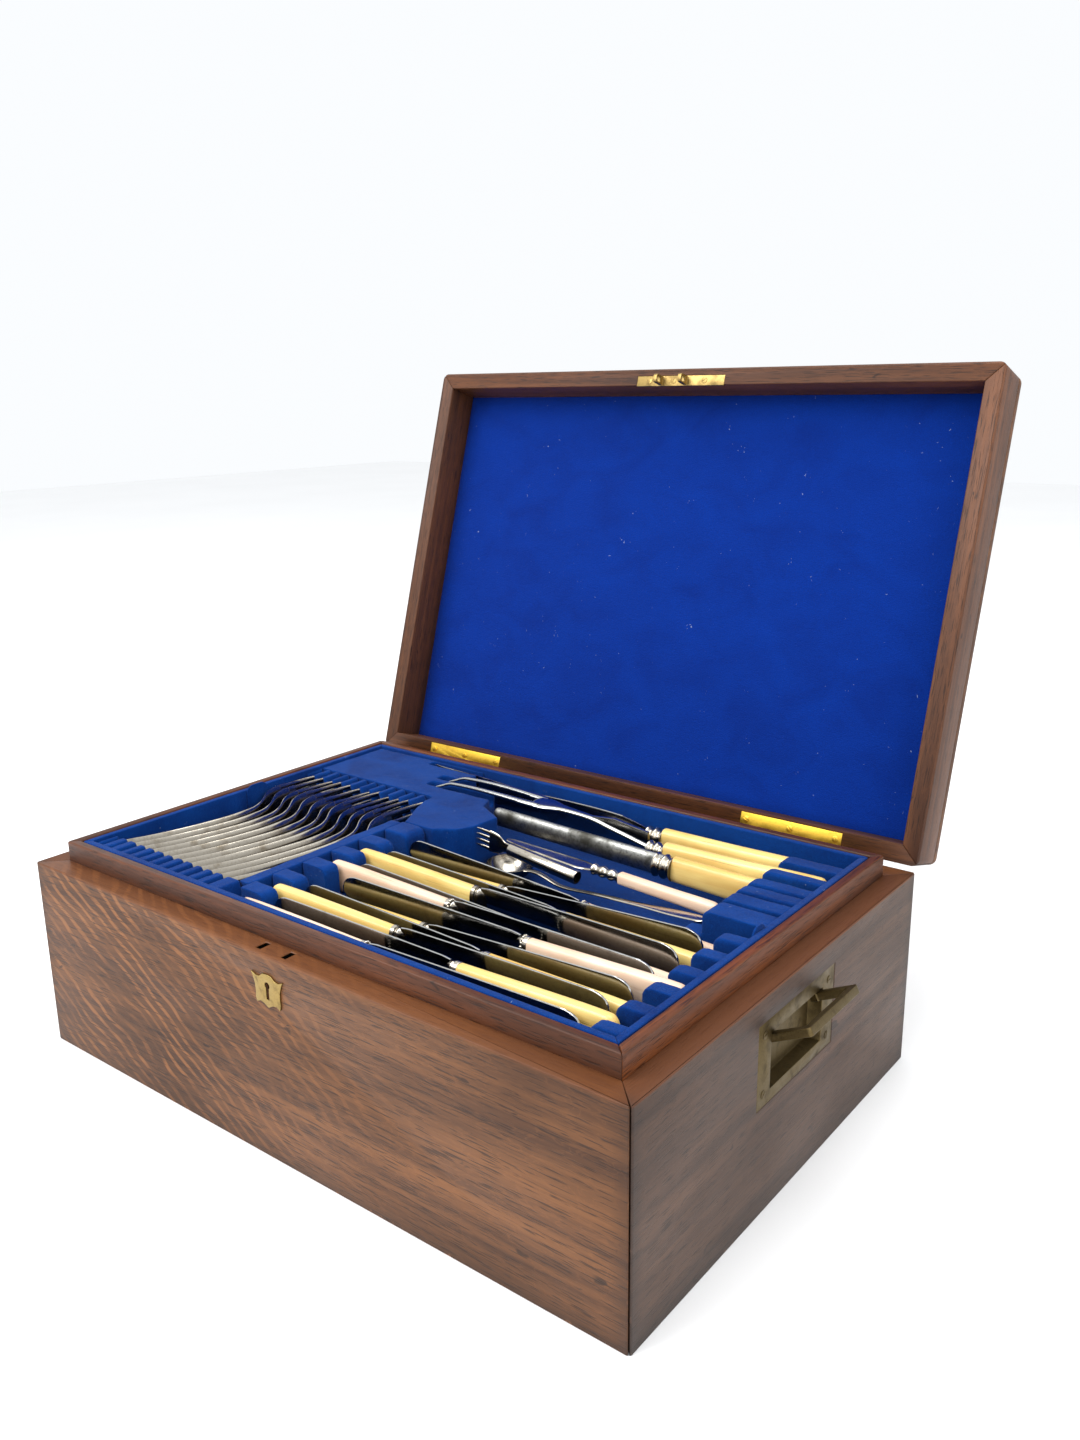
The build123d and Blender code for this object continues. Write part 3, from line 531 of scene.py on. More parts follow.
@dataclass(frozen=True)
class HandleFinish:
    """Ivory-coloured handle stock: long faint growth lines, yellowed patches and hairline checks."""

    name: str
    pale: Colour
    deep: Colour
    gloss: float = 0.3

    def build(self) -> Material:
        """Builds the material.

        Returns:
            The material, its constants set on the shader.
        """
        shade = Shade(self.name)
        lines = shade.noise(shade.place((7.0, 360.0, 360.0)), 3.0, 0.3)
        patch = shade.noise(shade.place((16.0, 40.0, 60.0)), 3.0, 0.4)
        checks = shade.noise(shade.place((12.0, 900.0, 900.0), shift=0.37), 1.0)
        colour = shade.ramp(patch, [(0.3, self.deep), (0.62, self.pale)])
        colour = shade.mix(shade.ramp(lines, [(0.48, 0.0), (0.7, 0.45)]), colour, self.deep)
        dark = tuple(c * 0.4 for c in self.deep)
        check_share = shade.ramp(checks, [(0.27, 0.6), (0.31, 0.0)])
        colour = shade.mix(check_share, colour, dark)
        roughness = shade.ramp(patch, [(0.3, self.gloss + 0.1), (0.7, self.gloss - 0.05)])
        shade.finish(colour, roughness, shade.math("SUBTRACT", lines, check_share), 0.12, 0.0001)
        shade.set(Coat_Weight=0.2, Coat_Roughness=0.15, Subsurface_Weight=0.06)
        shade.shader.inputs["Subsurface Radius"].default_value = (0.004, 0.0025, 0.0015)
        return shade.material


@dataclass
class Palette:
    """Every finish on the chest, built once."""

    front: Material = field(init=False)
    back: Material = field(init=False)
    left: Material = field(init=False)
    right: Material = field(init=False)
    lining_x: Material = field(init=False)
    lining_y: Material = field(init=False)
    rail_x: Material = field(init=False)
    rail_y: Material = field(init=False)
    lid_top: Material = field(init=False)
    lid_felt: Material = field(init=False)
    baize: Material = field(init=False)
    hinge: Material = field(init=False)
    aged: Material = field(init=False)
    worn: Material = field(init=False)
    iron_with_keyhole_shade: Material = field(init=False)
    blade: Material = field(init=False)
    steel: Material = field(init=False)
    plate: Material = field(init=False)
    yellow: Material = field(init=False)
    pale: Material = field(init=False)

    def __post_init__(self) -> None:
        """Builds the finishes in turn."""
        # Patchy darkening towards the foot and the corners of the boards.
        darkening = ((2, 0.0, 0.012), (0, 0.24, 0.014), (0, -0.24, 0.014))
        side_darkening = ((2, 0.0, 0.014), (1, 0.163, 0.014), (1, -0.163, 0.012))
        scuffs = ((2, 0.0, 0.003), (0, 0.24, 0.0028), (0, -0.24, 0.0028))
        side_scuffs = ((2, 0.0, 0.003), (1, -0.163, 0.0022), (1, 0.163, 0.003))
        amber = srgb(98, 54, 24)
        front = (srgb(118, 74, 38), srgb(70, 40, 19))
        side = (srgb(86, 60, 44), srgb(56, 38, 28))
        inside = (srgb(108, 58, 26), srgb(58, 29, 13))
        self.front = OakFinish(
            "oak_front", *front, figure=0.2, darkening=darkening, scuffs=scuffs, ledge=amber, waves=0.75
        ).build()
        self.back = OakFinish(
            "oak_back", *front, figure=0.2, seed=1.7, darkening=darkening, scuffs=scuffs, ledge=amber
        ).build()
        across = {
            "grain": Grain.ALONG_Y, "figure": 0.12, "darkening": side_darkening, "scuffs": side_scuffs, "ledge": amber
        }
        self.left = OakFinish("oak_left", *side, seed=2.9, **across).build()
        self.right = OakFinish("oak_right", *side, seed=4.3, **across).build()
        lip = {"figure": 0.1, "gloss": 0.4}
        self.lining_x = OakFinish("lining_lengthwise", *inside, seed=5.1, **lip).build()
        self.lining_y = OakFinish("lining_crosswise", *inside, Grain.ALONG_Y, seed=6.2, **lip).build()
        lid = {"tilt": LID_OPEN, "gloss": 0.5}
        rail = (srgb(104, 62, 34), srgb(60, 33, 19))
        self.rail_x = OakFinish("lid_rail_lengthwise", *rail, seed=7.3, figure=0.15, **lid).build()
        self.rail_y = OakFinish("lid_rail_crosswise", *rail, Grain.ALONG_Y, 0.15, seed=8.1, **lid).build()
        self.lid_top = OakFinish("lid_top", *front, seed=9.4, figure=0.2, waves=0.5, **lid).build()
        self.lid_felt = BaizeFinish(
            "lid_baize", srgb(0, 36, 118), srgb(0, 46, 138), wear=0.2, tilt=LID_OPEN
        ).build()
        self.baize = BaizeFinish("tray_baize", srgb(0, 36, 96), srgb(4, 60, 134), wear=0.45).build()
        self.hinge = MetalFinish("hinge_brass", srgb(240, 196, 72), srgb(176, 124, 44), 0.26, 0.15).build()
        self.aged = MetalFinish(
            "aged_brass", srgb(96, 82, 54), srgb(58, 48, 33), 0.42, 0.3, 0.1, 110.0, 0.1
        ).build()
        self.worn = MetalFinish(
            "worn_brass", srgb(158, 134, 82), srgb(104, 86, 54), 0.34, 0.3, 0.1, 110.0, 0.1
        ).build()
        # Near-black iron for the lock case: partly the iron's own colour, partly painted shade seen through
        # the keyhole.
        self.iron_with_keyhole_shade = MetalFinish("iron_painted_keyhole_shade", srgb(40, 36, 32), srgb(20, 18, 16), 0.5, 0.3).build()
        # The last argument of the blade, steel and plate finishes paints shade on their upright faces.
        self.blade = MetalFinish(
            "blade_steel", srgb(196, 196, 194), srgb(112, 106, 94), 0.08, 0.1, 0.1, side_shade=0.62
        ).build()
        self.steel = MetalFinish(
            "grey_steel", srgb(168, 168, 164), srgb(78, 76, 70), 0.3, 0.55, mottle=0.4, side_shade=0.5
        ).build()
        self.plate = MetalFinish(
            "silver_plate", srgb(206, 198, 184), srgb(128, 110, 82), 0.12, 0.2, side_shade=0.78
        ).build()
        self.yellow = HandleFinish("yellow_handle", srgb(238, 208, 128), srgb(210, 166, 84)).build()
        self.pale = HandleFinish("pale_handle", srgb(234, 206, 180), srgb(212, 174, 142)).build()


# ------------------------------------------------------------------ shapes


def values(table: Table, wanted: np.ndarray) -> np.ndarray:
    """Reads a table between its rows along a smooth line that never overshoots.

    Args:
        table: Rows of place and value, rising or falling.
        wanted: The places to read at.

    Returns:
        The values there; past either end the last row holds.
    """
    rows = sorted(table)
    x = np.array([row[0] for row in rows], float)
    y = np.array([row[1] for row in rows], float)
    step = np.diff(x)
    slope = np.diff(y) / step
    tangent = np.zeros_like(y)
    tangent[0], tangent[-1] = slope[0], slope[-1]
    same = slope[:-1] * slope[1:] > 0
    total = np.where(same, slope[:-1] + slope[1:], 1.0)
    tangent[1:-1] = np.where(same, 2 * slope[:-1] * slope[1:] / total, 0.0)
    k = np.clip(np.searchsorted(x, wanted, side="right") - 1, 0, len(step) - 1)
    t = np.clip((wanted - x[k]) / step[k], 0.0, 1.0)
    hermite = (2 * t**3 - 3 * t**2 + 1) * y[k] + (3 * t**2 - 2 * t**3) * y[k + 1]
    return hermite + step[k] * ((t**3 - 2 * t**2 + t) * tangent[k] + (t**3 - t**2) * tangent[k + 1])


@dataclass(frozen=True)
class Bar:
    """A bar drawn along a line by tables of half width, half thickness and centre, in millimetres."""

    span: tuple[float, float]
    wide: Table
    thick: Table
    sway: Table = LEVEL
    rise: Table = LEVEL
    square: float = 2.0
    steps: int = 44
    points: int = 16
    round_low: float = 0.0
    round_high: float = 0.0

    def rings(self) -> np.ndarray:
        """Its cross-sections, as places along, across its thickness and across its width.

        Returns:
            One ring of points for each step along it.
        """
        low, high = self.span
        along = low + (high - low) * (1 - np.cos(np.linspace(0, math.pi, self.steps))) / 2
        close = np.ones_like(along)
        for reach, away in ((self.round_low, along - low), (self.round_high, high - along)):
            if reach > 0:
                left = 1 - np.clip(away / reach, 0, 1)
                close *= np.sqrt(np.clip(1 - left**2, 0.0004, 1))
        angle = np.linspace(0, 2 * math.pi, self.points, endpoint=False)
        cosine, sine = np.cos(angle), np.sin(angle)
        across = np.sign(cosine) * np.abs(cosine) ** (2 / self.square)
        up = np.sign(sine) * np.abs(sine) ** (2 / self.square)
        thick = (values(self.thick, along) * close)[:, None] * across + values(self.sway, along)[:, None]
        wide = (values(self.wide, along) * close)[:, None] * up + values(self.rise, along)[:, None]
        return np.stack([np.broadcast_to(along[:, None], thick.shape), thick, wide], axis=2)


@dataclass(frozen=True)
class Blade:
    """A blade on edge: a thick spine that thins to the cutting edge, in millimetres."""

    span: tuple[float, float]
    spine: Table
    edge: Table
    thick: float
    steps: int = 40

    def rings(self) -> np.ndarray:
        """Its cross-sections, as places along, across its thickness and up its width.

        Returns:
            One ring of points for each step along it.
        """
        low, high = self.span
        along = low + (high - low) * (1 - np.cos(np.linspace(0, math.pi, self.steps))) / 2
        top, bottom = values(self.spine, along), values(self.edge, along)
        tall = np.maximum(top - bottom, 0.05)
        half = self.thick / 2 * np.clip(tall / 6.0, 0.15, 1.0)
        outline = ((0.0, 1.0), (0.75, 0.985), (1.0, 0.93), (0.86, 0.5), (0.16, 0.02), (0.0, 0.0))
        outline += tuple((-across, up) for across, up in reversed(outline[1:-1]))
        rows = [np.stack([along, half * across, bottom + tall * up], axis=1) for across, up in outline]
        return np.stack(rows, axis=1)


def lathe(profile: Table, points: int = 28) -> np.ndarray:
    """Rings of a turning about its own line, from places along and radii.

    Args:
        profile: Places along the line and the radii there.
        points: How many points each ring has.

    Returns:
        The rings.
    """
    angle = np.linspace(0, 2 * math.pi, points, endpoint=False)
    rings = [
        [(along, radius * math.cos(a), radius * math.sin(a)) for a in angle] for along, radius in profile
    ]
    return np.array(rings)


def ferrule(coves: int, radius: float, long: float) -> np.ndarray:
    """A turned ferrule of beads and coves from 0 back along the line.

    Args:
        coves: How many beads it has.
        radius: Its radius at a bead.
        long: Its length.

    Returns:
        The rings.
    """
    places = np.linspace(0, 1, 14 * coves + 1)
    profile = [(-long * p, radius * (0.87 + 0.13 * math.cos(2 * math.pi * coves * p))) for p in places]
    return lathe(profile)


def skin(name: str, stacks: Sequence[np.ndarray], axes: tuple[int, int, int] = (0, 1, 2)) -> Mesh:
    """Skins stacks of rings into one smooth closed mesh.

    Args:
        name: The mesh's name.
        stacks: Each an array of rings whose points are along, across the thickness and across the width.
        axes: Which of those three becomes X, Y and Z.

    Returns:
        The mesh, in metres.
    """
    made = bmesh.new()
    for rings in stacks:
        rows = [[made.verts.new(Vector(point[list(axes)]) * MM) for point in ring] for ring in rings]
        count = len(rows[0])
        for low, high in zip(rows, rows[1:]):
            for k in range(count):
                made.faces.new((low[k], low[(k + 1) % count], high[(k + 1) % count], high[k]))
        made.faces.new(rows[0][::-1])
        made.faces.new(rows[-1])
    bmesh.ops.recalc_face_normals(made, faces=made.faces)
    return close_mesh(made, name, 42.0)


def close_mesh(made: bmesh.types.BMesh, name: str, sharp: float) -> Mesh:
    """Writes a mesh out, smooth except across edges sharper than an angle in degrees.

    Args:
        made: The mesh being made, which is freed.
        name: The mesh's name.
        sharp: The angle past which an edge stays sharp, in degrees.

    Returns:
        The mesh.
    """
    mesh = bpy.data.meshes.new(name)
    made.to_mesh(mesh)
    made.free()
    mesh.shade_smooth()
    mesh.set_sharp_from_angle(angle=math.radians(sharp))
    return mesh


def moved(mesh: Mesh, place: Matrix) -> Mesh:
    """Carries a mesh to its place."""
    mesh.transform(place)
    return mesh


def joined(name: str, meshes: Sequence[Mesh], sharp: float = 42.0) -> Mesh:
    """Puts several meshes into one.

    Args:
        name: The new mesh's name.
        meshes: The meshes to put together.
        sharp: The angle past which an edge stays sharp, in degrees.

    Returns:
        The mesh.
    """
    made = bmesh.new()
    for mesh in meshes:
        made.from_mesh(mesh)
    return close_mesh(made, name, sharp)


def placed(x: float, y: float, z: float, turn: float = 0.0, tip: float = 0.0) -> Matrix:
    """A place in millimetres, turned about Z and then tipped about Y, in degrees."""
    turned = Matrix.Rotation(math.radians(turn), 4, "Z") @ Matrix.Rotation(math.radians(tip), 4, "Y")
    return Matrix.Translation(Vector((x, y, z)) * MM) @ turned


def opened(x: float, y: float, z: float) -> Vector:
    """Where a point of the shut lid, in millimetres, is with the lid open, in metres.

    Args:
        x: Its place to the right.
        y: Its place towards the hinges.
        z: Its height.

    Returns:
        The place with the lid open.
    """
    swing = Matrix.Rotation(math.radians(-LID_OPEN), 3, "X")
    axis = Vector((0.0, AXIS_Y, AXIS_Z))
    return (swing @ (Vector((x, y, z)) - axis) + axis) * MM


def prism(name: str, outlines: Sequence[Table], low: float, high: float, ease: float) -> Mesh:
    """Flat shapes drawn in X and Y and given a thickness in Z, their edges eased, in millimetres.

    Args:
        name: The mesh's name.
        outlines: The corners of each shape, in order.
        low: The height of the lower face.
        high: The height of the upper face.
        ease: How far the edges are rounded.

    Returns:
        The mesh.
    """
    made = bmesh.new()
    for outline in outlines:
        base = made.faces.new([made.verts.new((x * MM, y * MM, low * MM)) for x, y in outline])
        lifted = bmesh.ops.extrude_face_region(made, geom=[base])
        corners = [part for part in lifted["geom"] if isinstance(part, bmesh.types.BMVert)]
        bmesh.ops.translate(made, verts=corners, vec=(0.0, 0.0, (high - low) * MM))
    bmesh.ops.recalc_face_normals(made, faces=made.faces)
    bmesh.ops.bevel(made, geom=made.edges[:], offset=ease * MM, segments=2, profile=0.6, affect="EDGES")
    return close_mesh(made, name, 50.0)


# ------------------------------------------------------------------ node trees


class Tree:
    """A geometry node tree with named inputs."""

    def __init__(self, name: str, inputs: dict[str, str]) -> None:
        """Starts the tree with its inputs, named by their socket kinds.

        Args:
            name: The tree's name.
            inputs: Each input's label and the kind of its socket.
        """
        self.group = bpy.data.node_groups.new(name, "GeometryNodeTree")
        for label, kind in inputs.items():
            self.group.interface.new_socket(label, in_out="INPUT", socket_type=f"NodeSocket{kind}")
        self.group.interface.new_socket("Result", in_out="OUTPUT", socket_type="NodeSocketGeometry")
        self.start = self.group.nodes.new("NodeGroupInput")
        self.end = self.group.nodes.new("NodeGroupOutput")

    def node(self, kind: str, settings: dict[str, object] | None = None, **feeds: object) -> bpy.types.Node:
        """Adds a node, sets its options and feeds its inputs, underscores standing for spaces.

        Args:
            kind: The node's type.
            settings: Its options.
            feeds: Sockets to link from or values, by input name.

        Returns:
            The node.
        """
        made = self.group.nodes.new(kind)
        for name, value in (settings or {}).items():
            setattr(made, name, value)
        for name, value in feeds.items():
            socket = made.inputs[name.replace("_", " ")]
            if isinstance(value, Socket):
                self.group.links.new(value, socket)
            else:
                socket.default_value = value
        return made

    def scatter(self, points: Socket, shape: Socket, turn: Socket) -> None:
        """Sets a shape on each point, each copy turned a little at random, and closes the tree.

        Args:
            points: The points to fill.
            shape: What is copied.
            turn: The angles of each copy.
        """
        spread = self.node(
            "FunctionNodeRandomValue", {"data_type": "FLOAT_VECTOR"}, Seed=self.start.outputs["Seed"]
        )
        spread.inputs["Min"].default_value = (-1.0, -1.0, -1.0)
        spread.inputs["Max"].default_value = (1.0, 1.0, 1.0)
        loose = self.node("ShaderNodeVectorMath", {"operation": "MULTIPLY"})
        self.group.links.new(spread.outputs["Value"], loose.inputs[0])
        self.group.links.new(self.start.outputs["Loose Turn"], loose.inputs[1])
        extra = self.node("FunctionNodeEulerToRotation", Euler=loose.outputs[0])
        base = self.node("FunctionNodeEulerToRotation", Euler=turn)
        both = self.node("FunctionNodeRotateRotation", {"rotation_space": "LOCAL"}, Rotation=base.outputs[0])
        self.group.links.new(extra.outputs[0], both.inputs[1])
        copies = self.node(
            "GeometryNodeInstanceOnPoints", Points=points, Instance=shape, Rotation=both.outputs[0]
        )
        whole = self.node("GeometryNodeRealizeInstances", Geometry=copies.outputs[0])
        dressed = self.node(
            "GeometryNodeSetMaterial", Geometry=whole.outputs[0], Material=self.start.outputs["Finish"]
        )
        self.group.links.new(dressed.outputs[0], self.end.inputs[0])


def row_tree() -> NodeTree:
    """Copies of the object's own mesh in an even, leaning row.

    Returns:
        The tree.
    """
    inputs = {"Shape": "Geometry", "Count": "Int", "Start": "Vector", "Pitch": "Vector", "Lean": "Vector"}
    tree = Tree("leaning_row", {**inputs, "Loose Turn": "Vector", "Seed": "Int", "Finish": "Material"})
    start = tree.start.outputs
    line = tree.node("GeometryNodeMeshLine", {"mode": "OFFSET"}, Count=start["Count"], Offset=start["Pitch"])
    tree.group.links.new(start["Start"], line.inputs["Start Location"])
    tree.scatter(line.outputs[0], start["Shape"], start["Lean"])
    return tree.group


def copies_tree() -> NodeTree:
    """Copies of another shape on the object's points, turned by the points' own angles.

    Returns:
        The tree.
    """
    inputs = {
        "Points": "Geometry", "Shape": "Object", "Loose Turn": "Vector", "Seed": "Int", "Finish": "Material"
    }
    tree = Tree("placed_copies", inputs)
    start = tree.start.outputs
    shape = tree.node("GeometryNodeObjectInfo", Object=start["Shape"])
    turn = tree.node("GeometryNodeInputNamedAttribute", {"data_type": "FLOAT_VECTOR"}, Name="turn")
    tree.scatter(start["Points"], shape.outputs["Geometry"], turn.outputs["Attribute"])
    return tree.group


def bead_tree() -> NodeTree:
    """A ring of beads about X, wider than it is thick.

    Returns:
        The tree.
    """
    inputs = {"Base": "Geometry", "Beads": "Int", "Half Size": "Vector", "Place": "Vector", "Bead": "Float"}
    tree = Tree("bead_ring", {**inputs, "Finish": "Material"})
    start = tree.start.outputs
    ring = tree.node("GeometryNodeMeshCircle", Vertices=start["Beads"], Radius=1.0)
    upright = tree.node("GeometryNodeTransform", Geometry=ring.outputs[0], Rotation=(0.0, math.pi / 2, 0.0))
    sized = tree.node("GeometryNodeTransform", Geometry=upright.outputs[0], Translation=start["Place"])
    tree.group.links.new(start["Half Size"], sized.inputs["Scale"])
    ball = tree.node("GeometryNodeMeshUVSphere", Segments=8, Rings=6, Radius=start["Bead"])
    copies = tree.node("GeometryNodeInstanceOnPoints", Points=sized.outputs[0], Instance=ball.outputs[0])
    whole = tree.node("GeometryNodeRealizeInstances", Geometry=copies.outputs[0])
    dressed = tree.node("GeometryNodeSetMaterial", Geometry=whole.outputs[0], Material=start["Finish"])
    tree.group.links.new(dressed.outputs[0], tree.end.inputs[0])
    return tree.group


# ------------------------------------------------------------------ workshop


@dataclass
class Workshop:
    """Makes pieces from meshes, from the frame's nodes and from node trees, and settles them on bodies."""

    nodes: dict[str, Piece]
    row: NodeTree = field(default_factory=row_tree)
    copies: NodeTree = field(default_factory=copies_tree)
    beads: NodeTree = field(default_factory=bead_tree)

    def add(self, name: str, mesh: Mesh) -> Piece:
        """Puts a mesh in the scene as an object at the origin.

        Args:
            name: The object's name.
            mesh: Its mesh, in metres and in place.

        Returns:
            The object.
        """
        made = bpy.data.objects.new(name, mesh)
        bpy.context.scene.collection.objects.link(made)
        return made

    def flatten(self, made: Piece) -> Piece:
        """Turns an object's modifiers into plain mesh.

        Args:
            made: The object.

        Returns:
            The same object without modifiers.
        """
        view = bpy.context.evaluated_depsgraph_get()
        mesh = bpy.data.meshes.new_from_object(made.evaluated_get(view), depsgraph=view)
        made.modifiers.clear()
        made.data = mesh
        return made

    def settle(self, made: Piece, body: Body, slot: Slot, finish: Material, *nodes: str) -> Piece:
        """Dresses a piece, sets it on its body and hides the nodes that it stands for.

        Args:
            made: The piece.
            body: The body that it rides on.
            slot: The record's slot for its material; not used.
            finish: Its material.
            nodes: The nodes that it replaces.

        Returns:
            The piece.
        """
        made.data.materials.clear()
        made.data.materials.append(finish)
        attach(made, body.value)
        if nodes:
            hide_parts(*nodes)
        LOG.info("%s: %d faces on %s", made.name, len(made.data.polygons), body.value)
        return made

    def paint(self, node: str, finish: Material) -> None:
        """Dresses a node that is shown as it is.

        Args:
            node: The node's name.
            finish: Its material.
        """
        mesh = self.nodes[node].data
        mesh.materials.clear()
        mesh.materials.append(finish)
        LOG.info("%s: painted", node)

    def merged(self, node: str, whole: bool = True) -> bmesh.types.BMesh:
        """A merged copy of a node's loose triangles, its flat faces made whole again if wanted.

        Args:
            node: The node's name.
            whole: Whether neighbours in one plane are made one face.

        Returns:
            The mesh being made.
        """
        made = bmesh.new()
        made.from_mesh(self.nodes[node].data)
        bmesh.ops.remove_doubles(made, verts=made.verts, dist=WELD)
        if whole:
            bmesh.ops.dissolve_limit(made, angle_limit=math.radians(FLAT), verts=made.verts, edges=made.edges)
        return made

    def strays(self, mesh: Mesh, surface: BVHTree, reach: float) -> bool:
        """Whether any part of a mesh lies further off a surface than a reach in metres.

        Args:
            mesh: The mesh that is tried.
            surface: The surface that it should follow.
            reach: The most that it may lie off it.

        Returns:
            True if some triangle leaves the surface.
        """
        mesh.calc_loop_triangles()
        for triangle in mesh.loop_triangles:
            corners = [mesh.vertices[k].co for k in triangle.vertices]
            longest = max((corners[k] - corners[k - 1]).length for k in range(3))
            cuts = min(MOST_SAMPLES, max(1, int(longest / SAMPLE_STEP)))
            for a in range(cuts):
                for b in range(cuts - a):
                    u, v = (a + 1 / 3) / cuts, (b + 1 / 3) / cuts
                    point = corners[0] * u + corners[1] * v + corners[2] * (1 - u - v)
                    if surface.find_nearest(point)[3] > reach:
                        return True
        return False

    def eased(self, node: str, ease: float, sharp: float = 32.0) -> Piece:
        """A copy of a node with eased edges, its bevel halved until no face leaves the node's surface.

        Args:
            node: The node to copy.
            ease: The width of the bevel wanted, in millimetres.
            sharp: Edges bent by more than this many degrees are eased.

        Returns:
            The eased piece, or a plain copy if no bevel fits.
        """
        source = self.nodes[node].data
        surface = BVHTree.FromPolygons(
            [v.co for v in source.vertices], [tuple(p.vertices) for p in source.polygons]
        )
        made = self.add(f"{node}.eased", bpy.data.meshes.new(f"{node}.eased"))
        for tries in range(EASE_TRIES + 1):
            width = ease / 2**tries if tries < EASE_TRIES else 0.0
            made.data = close_mesh(self.merged(node, width > 0), f"{node}.eased", sharp)
            if width > 0:
                bevel = made.modifiers.new("ease", "BEVEL")
                bevel.width = width * MM
                bevel.segments = 3
                bevel.limit_method = "ANGLE"
                bevel.angle_limit = math.radians(sharp)
                bevel.use_clamp_overlap = False
                self.flatten(made)
            if not self.strays(made.data, surface, (0.6 * width + 0.06) * MM):
                break
        LOG.info("%s: eased by %.2f mm", node, width)
        made.data.shade_smooth()
        made.data.set_sharp_from_angle(angle=math.radians(sharp))
        return made

    def felted(self, node: str, voxel: float, swell: float) -> Piece:
        """A copy of a node as if wrapped in cloth: one skin over its solids, softened and uneven.

        Args:
            node: The node to wrap.
            voxel: The grid that the skin is drawn on, in millimetres.
            swell: How far the cloth lies off an even surface, in millimetres.

        Returns:
            The wrapped piece.
        """
        made = self.add(f"{node}.felted", close_mesh(self.merged(node), f"{node}.felted", 180.0))
        remesh = made.modifiers.new("skin", "REMESH")
        remesh.mode = "VOXEL"
        remesh.voxel_size = voxel * MM
        self.flatten(made)
        soft = bmesh.new()
        soft.from_mesh(made.data)
        broad, fine, passes = 70.0, 260.0, 3
        for _ in range(passes):
            bmesh.ops.smooth_vert(
                soft, verts=soft.verts, factor=0.5, use_axis_x=True, use_axis_y=True, use_axis_z=True
            )
        soft.normal_update()
        for vert in soft.verts:
            wave = noise.noise(vert.co * broad) + 0.4 * noise.noise(vert.co * fine)
            vert.co += vert.normal * swell * MM * (wave - 0.5)
        made.data = close_mesh(soft, f"{node}.felted", 180.0)
        return made

    def run(self, name: str, tree: NodeTree, mesh: Mesh, **inputs: object) -> Piece:
        """Runs a node tree on a mesh and keeps the result as plain mesh.

        Args:
            name: The piece's name.
            tree: The tree to run.
            mesh: What the tree starts from.
            inputs: Values for the tree's named inputs, underscores standing for spaces.

        Returns:
            The piece.
        """
        made = self.add(name, mesh)
        modifier = made.modifiers.new("build", "NODES")
        modifier.node_group = tree
        wanted = {label.replace("_", " "): value for label, value in inputs.items()}
        for item in tree.interface.items_tree:
            if item.in_out == "INPUT" and item.name in wanted:
                modifier[item.identifier] = wanted[item.name]
        return self.flatten(made)

    def spread(
        self,
        name: str,
        shape: Mesh,
        places: Sequence[tuple[Vector, Vector]],
        finish: Material,
        loose: Triple = (0.0, 0.0, 0.0),
    ) -> Piece:
        """Sets copies of a shape at places, each with its own turn, through the copies tree.

        Args:
            name: The piece's name.
            shape: The mesh that is copied.
            places: A point and an angle vector for each copy.
            finish: The material that the tree sets.
            loose: How far each copy may turn about its own axes, in radians.

        Returns:
            The piece, all copies in one mesh.
        """
        points = bpy.data.meshes.new(f"{name}.points")
        points.from_pydata([tuple(point) for point, _ in places], [], [])
        turns = points.attributes.new("turn", "FLOAT_VECTOR", "POINT")
        for item, (_, turn) in zip(turns.data, places):
            item.vector = turn
        pattern = self.add(f"{name}.pattern", shape)
        inputs = {"Shape": pattern, "Loose Turn": tuple(float(v) for v in loose), "Seed": 7, "Finish": finish}
        made = self.run(name, self.copies, points, **inputs)
        bpy.data.objects.remove(pattern)
        return made


def screw_head(radius: float = 2.35, slot: float = 0.27) -> Mesh:
    """A slotted head, its face at z = 0, in two halves on a thin floor.

    Args:
        radius: The head's radius, in millimetres.
        slot: Half the slot's width, in millimetres.

    Returns:
        The mesh.
    """
    start = math.asin(slot / radius)
    arc = [start + (math.pi - 2 * start) * n / 14 for n in range(15)]
    half = [(radius * math.cos(a), radius * math.sin(a)) for a in arc]
    other = [(-x, -y) for x, y in half]
    floor = [
        (radius * 0.9 * math.cos(a), radius * 0.9 * math.sin(a)) for a in np.linspace(0, 2 * math.pi, 21)[:-1]
    ]
    tops = prism("screw_halves", [half, other], -0.3, 0.0, 0.07)
    base = prism("screw_floor", [floor], -0.3, -0.22, 0.02)
    return joined("screw_head", [tops, base], 50.0)


# ------------------------------------------------------------------ chest


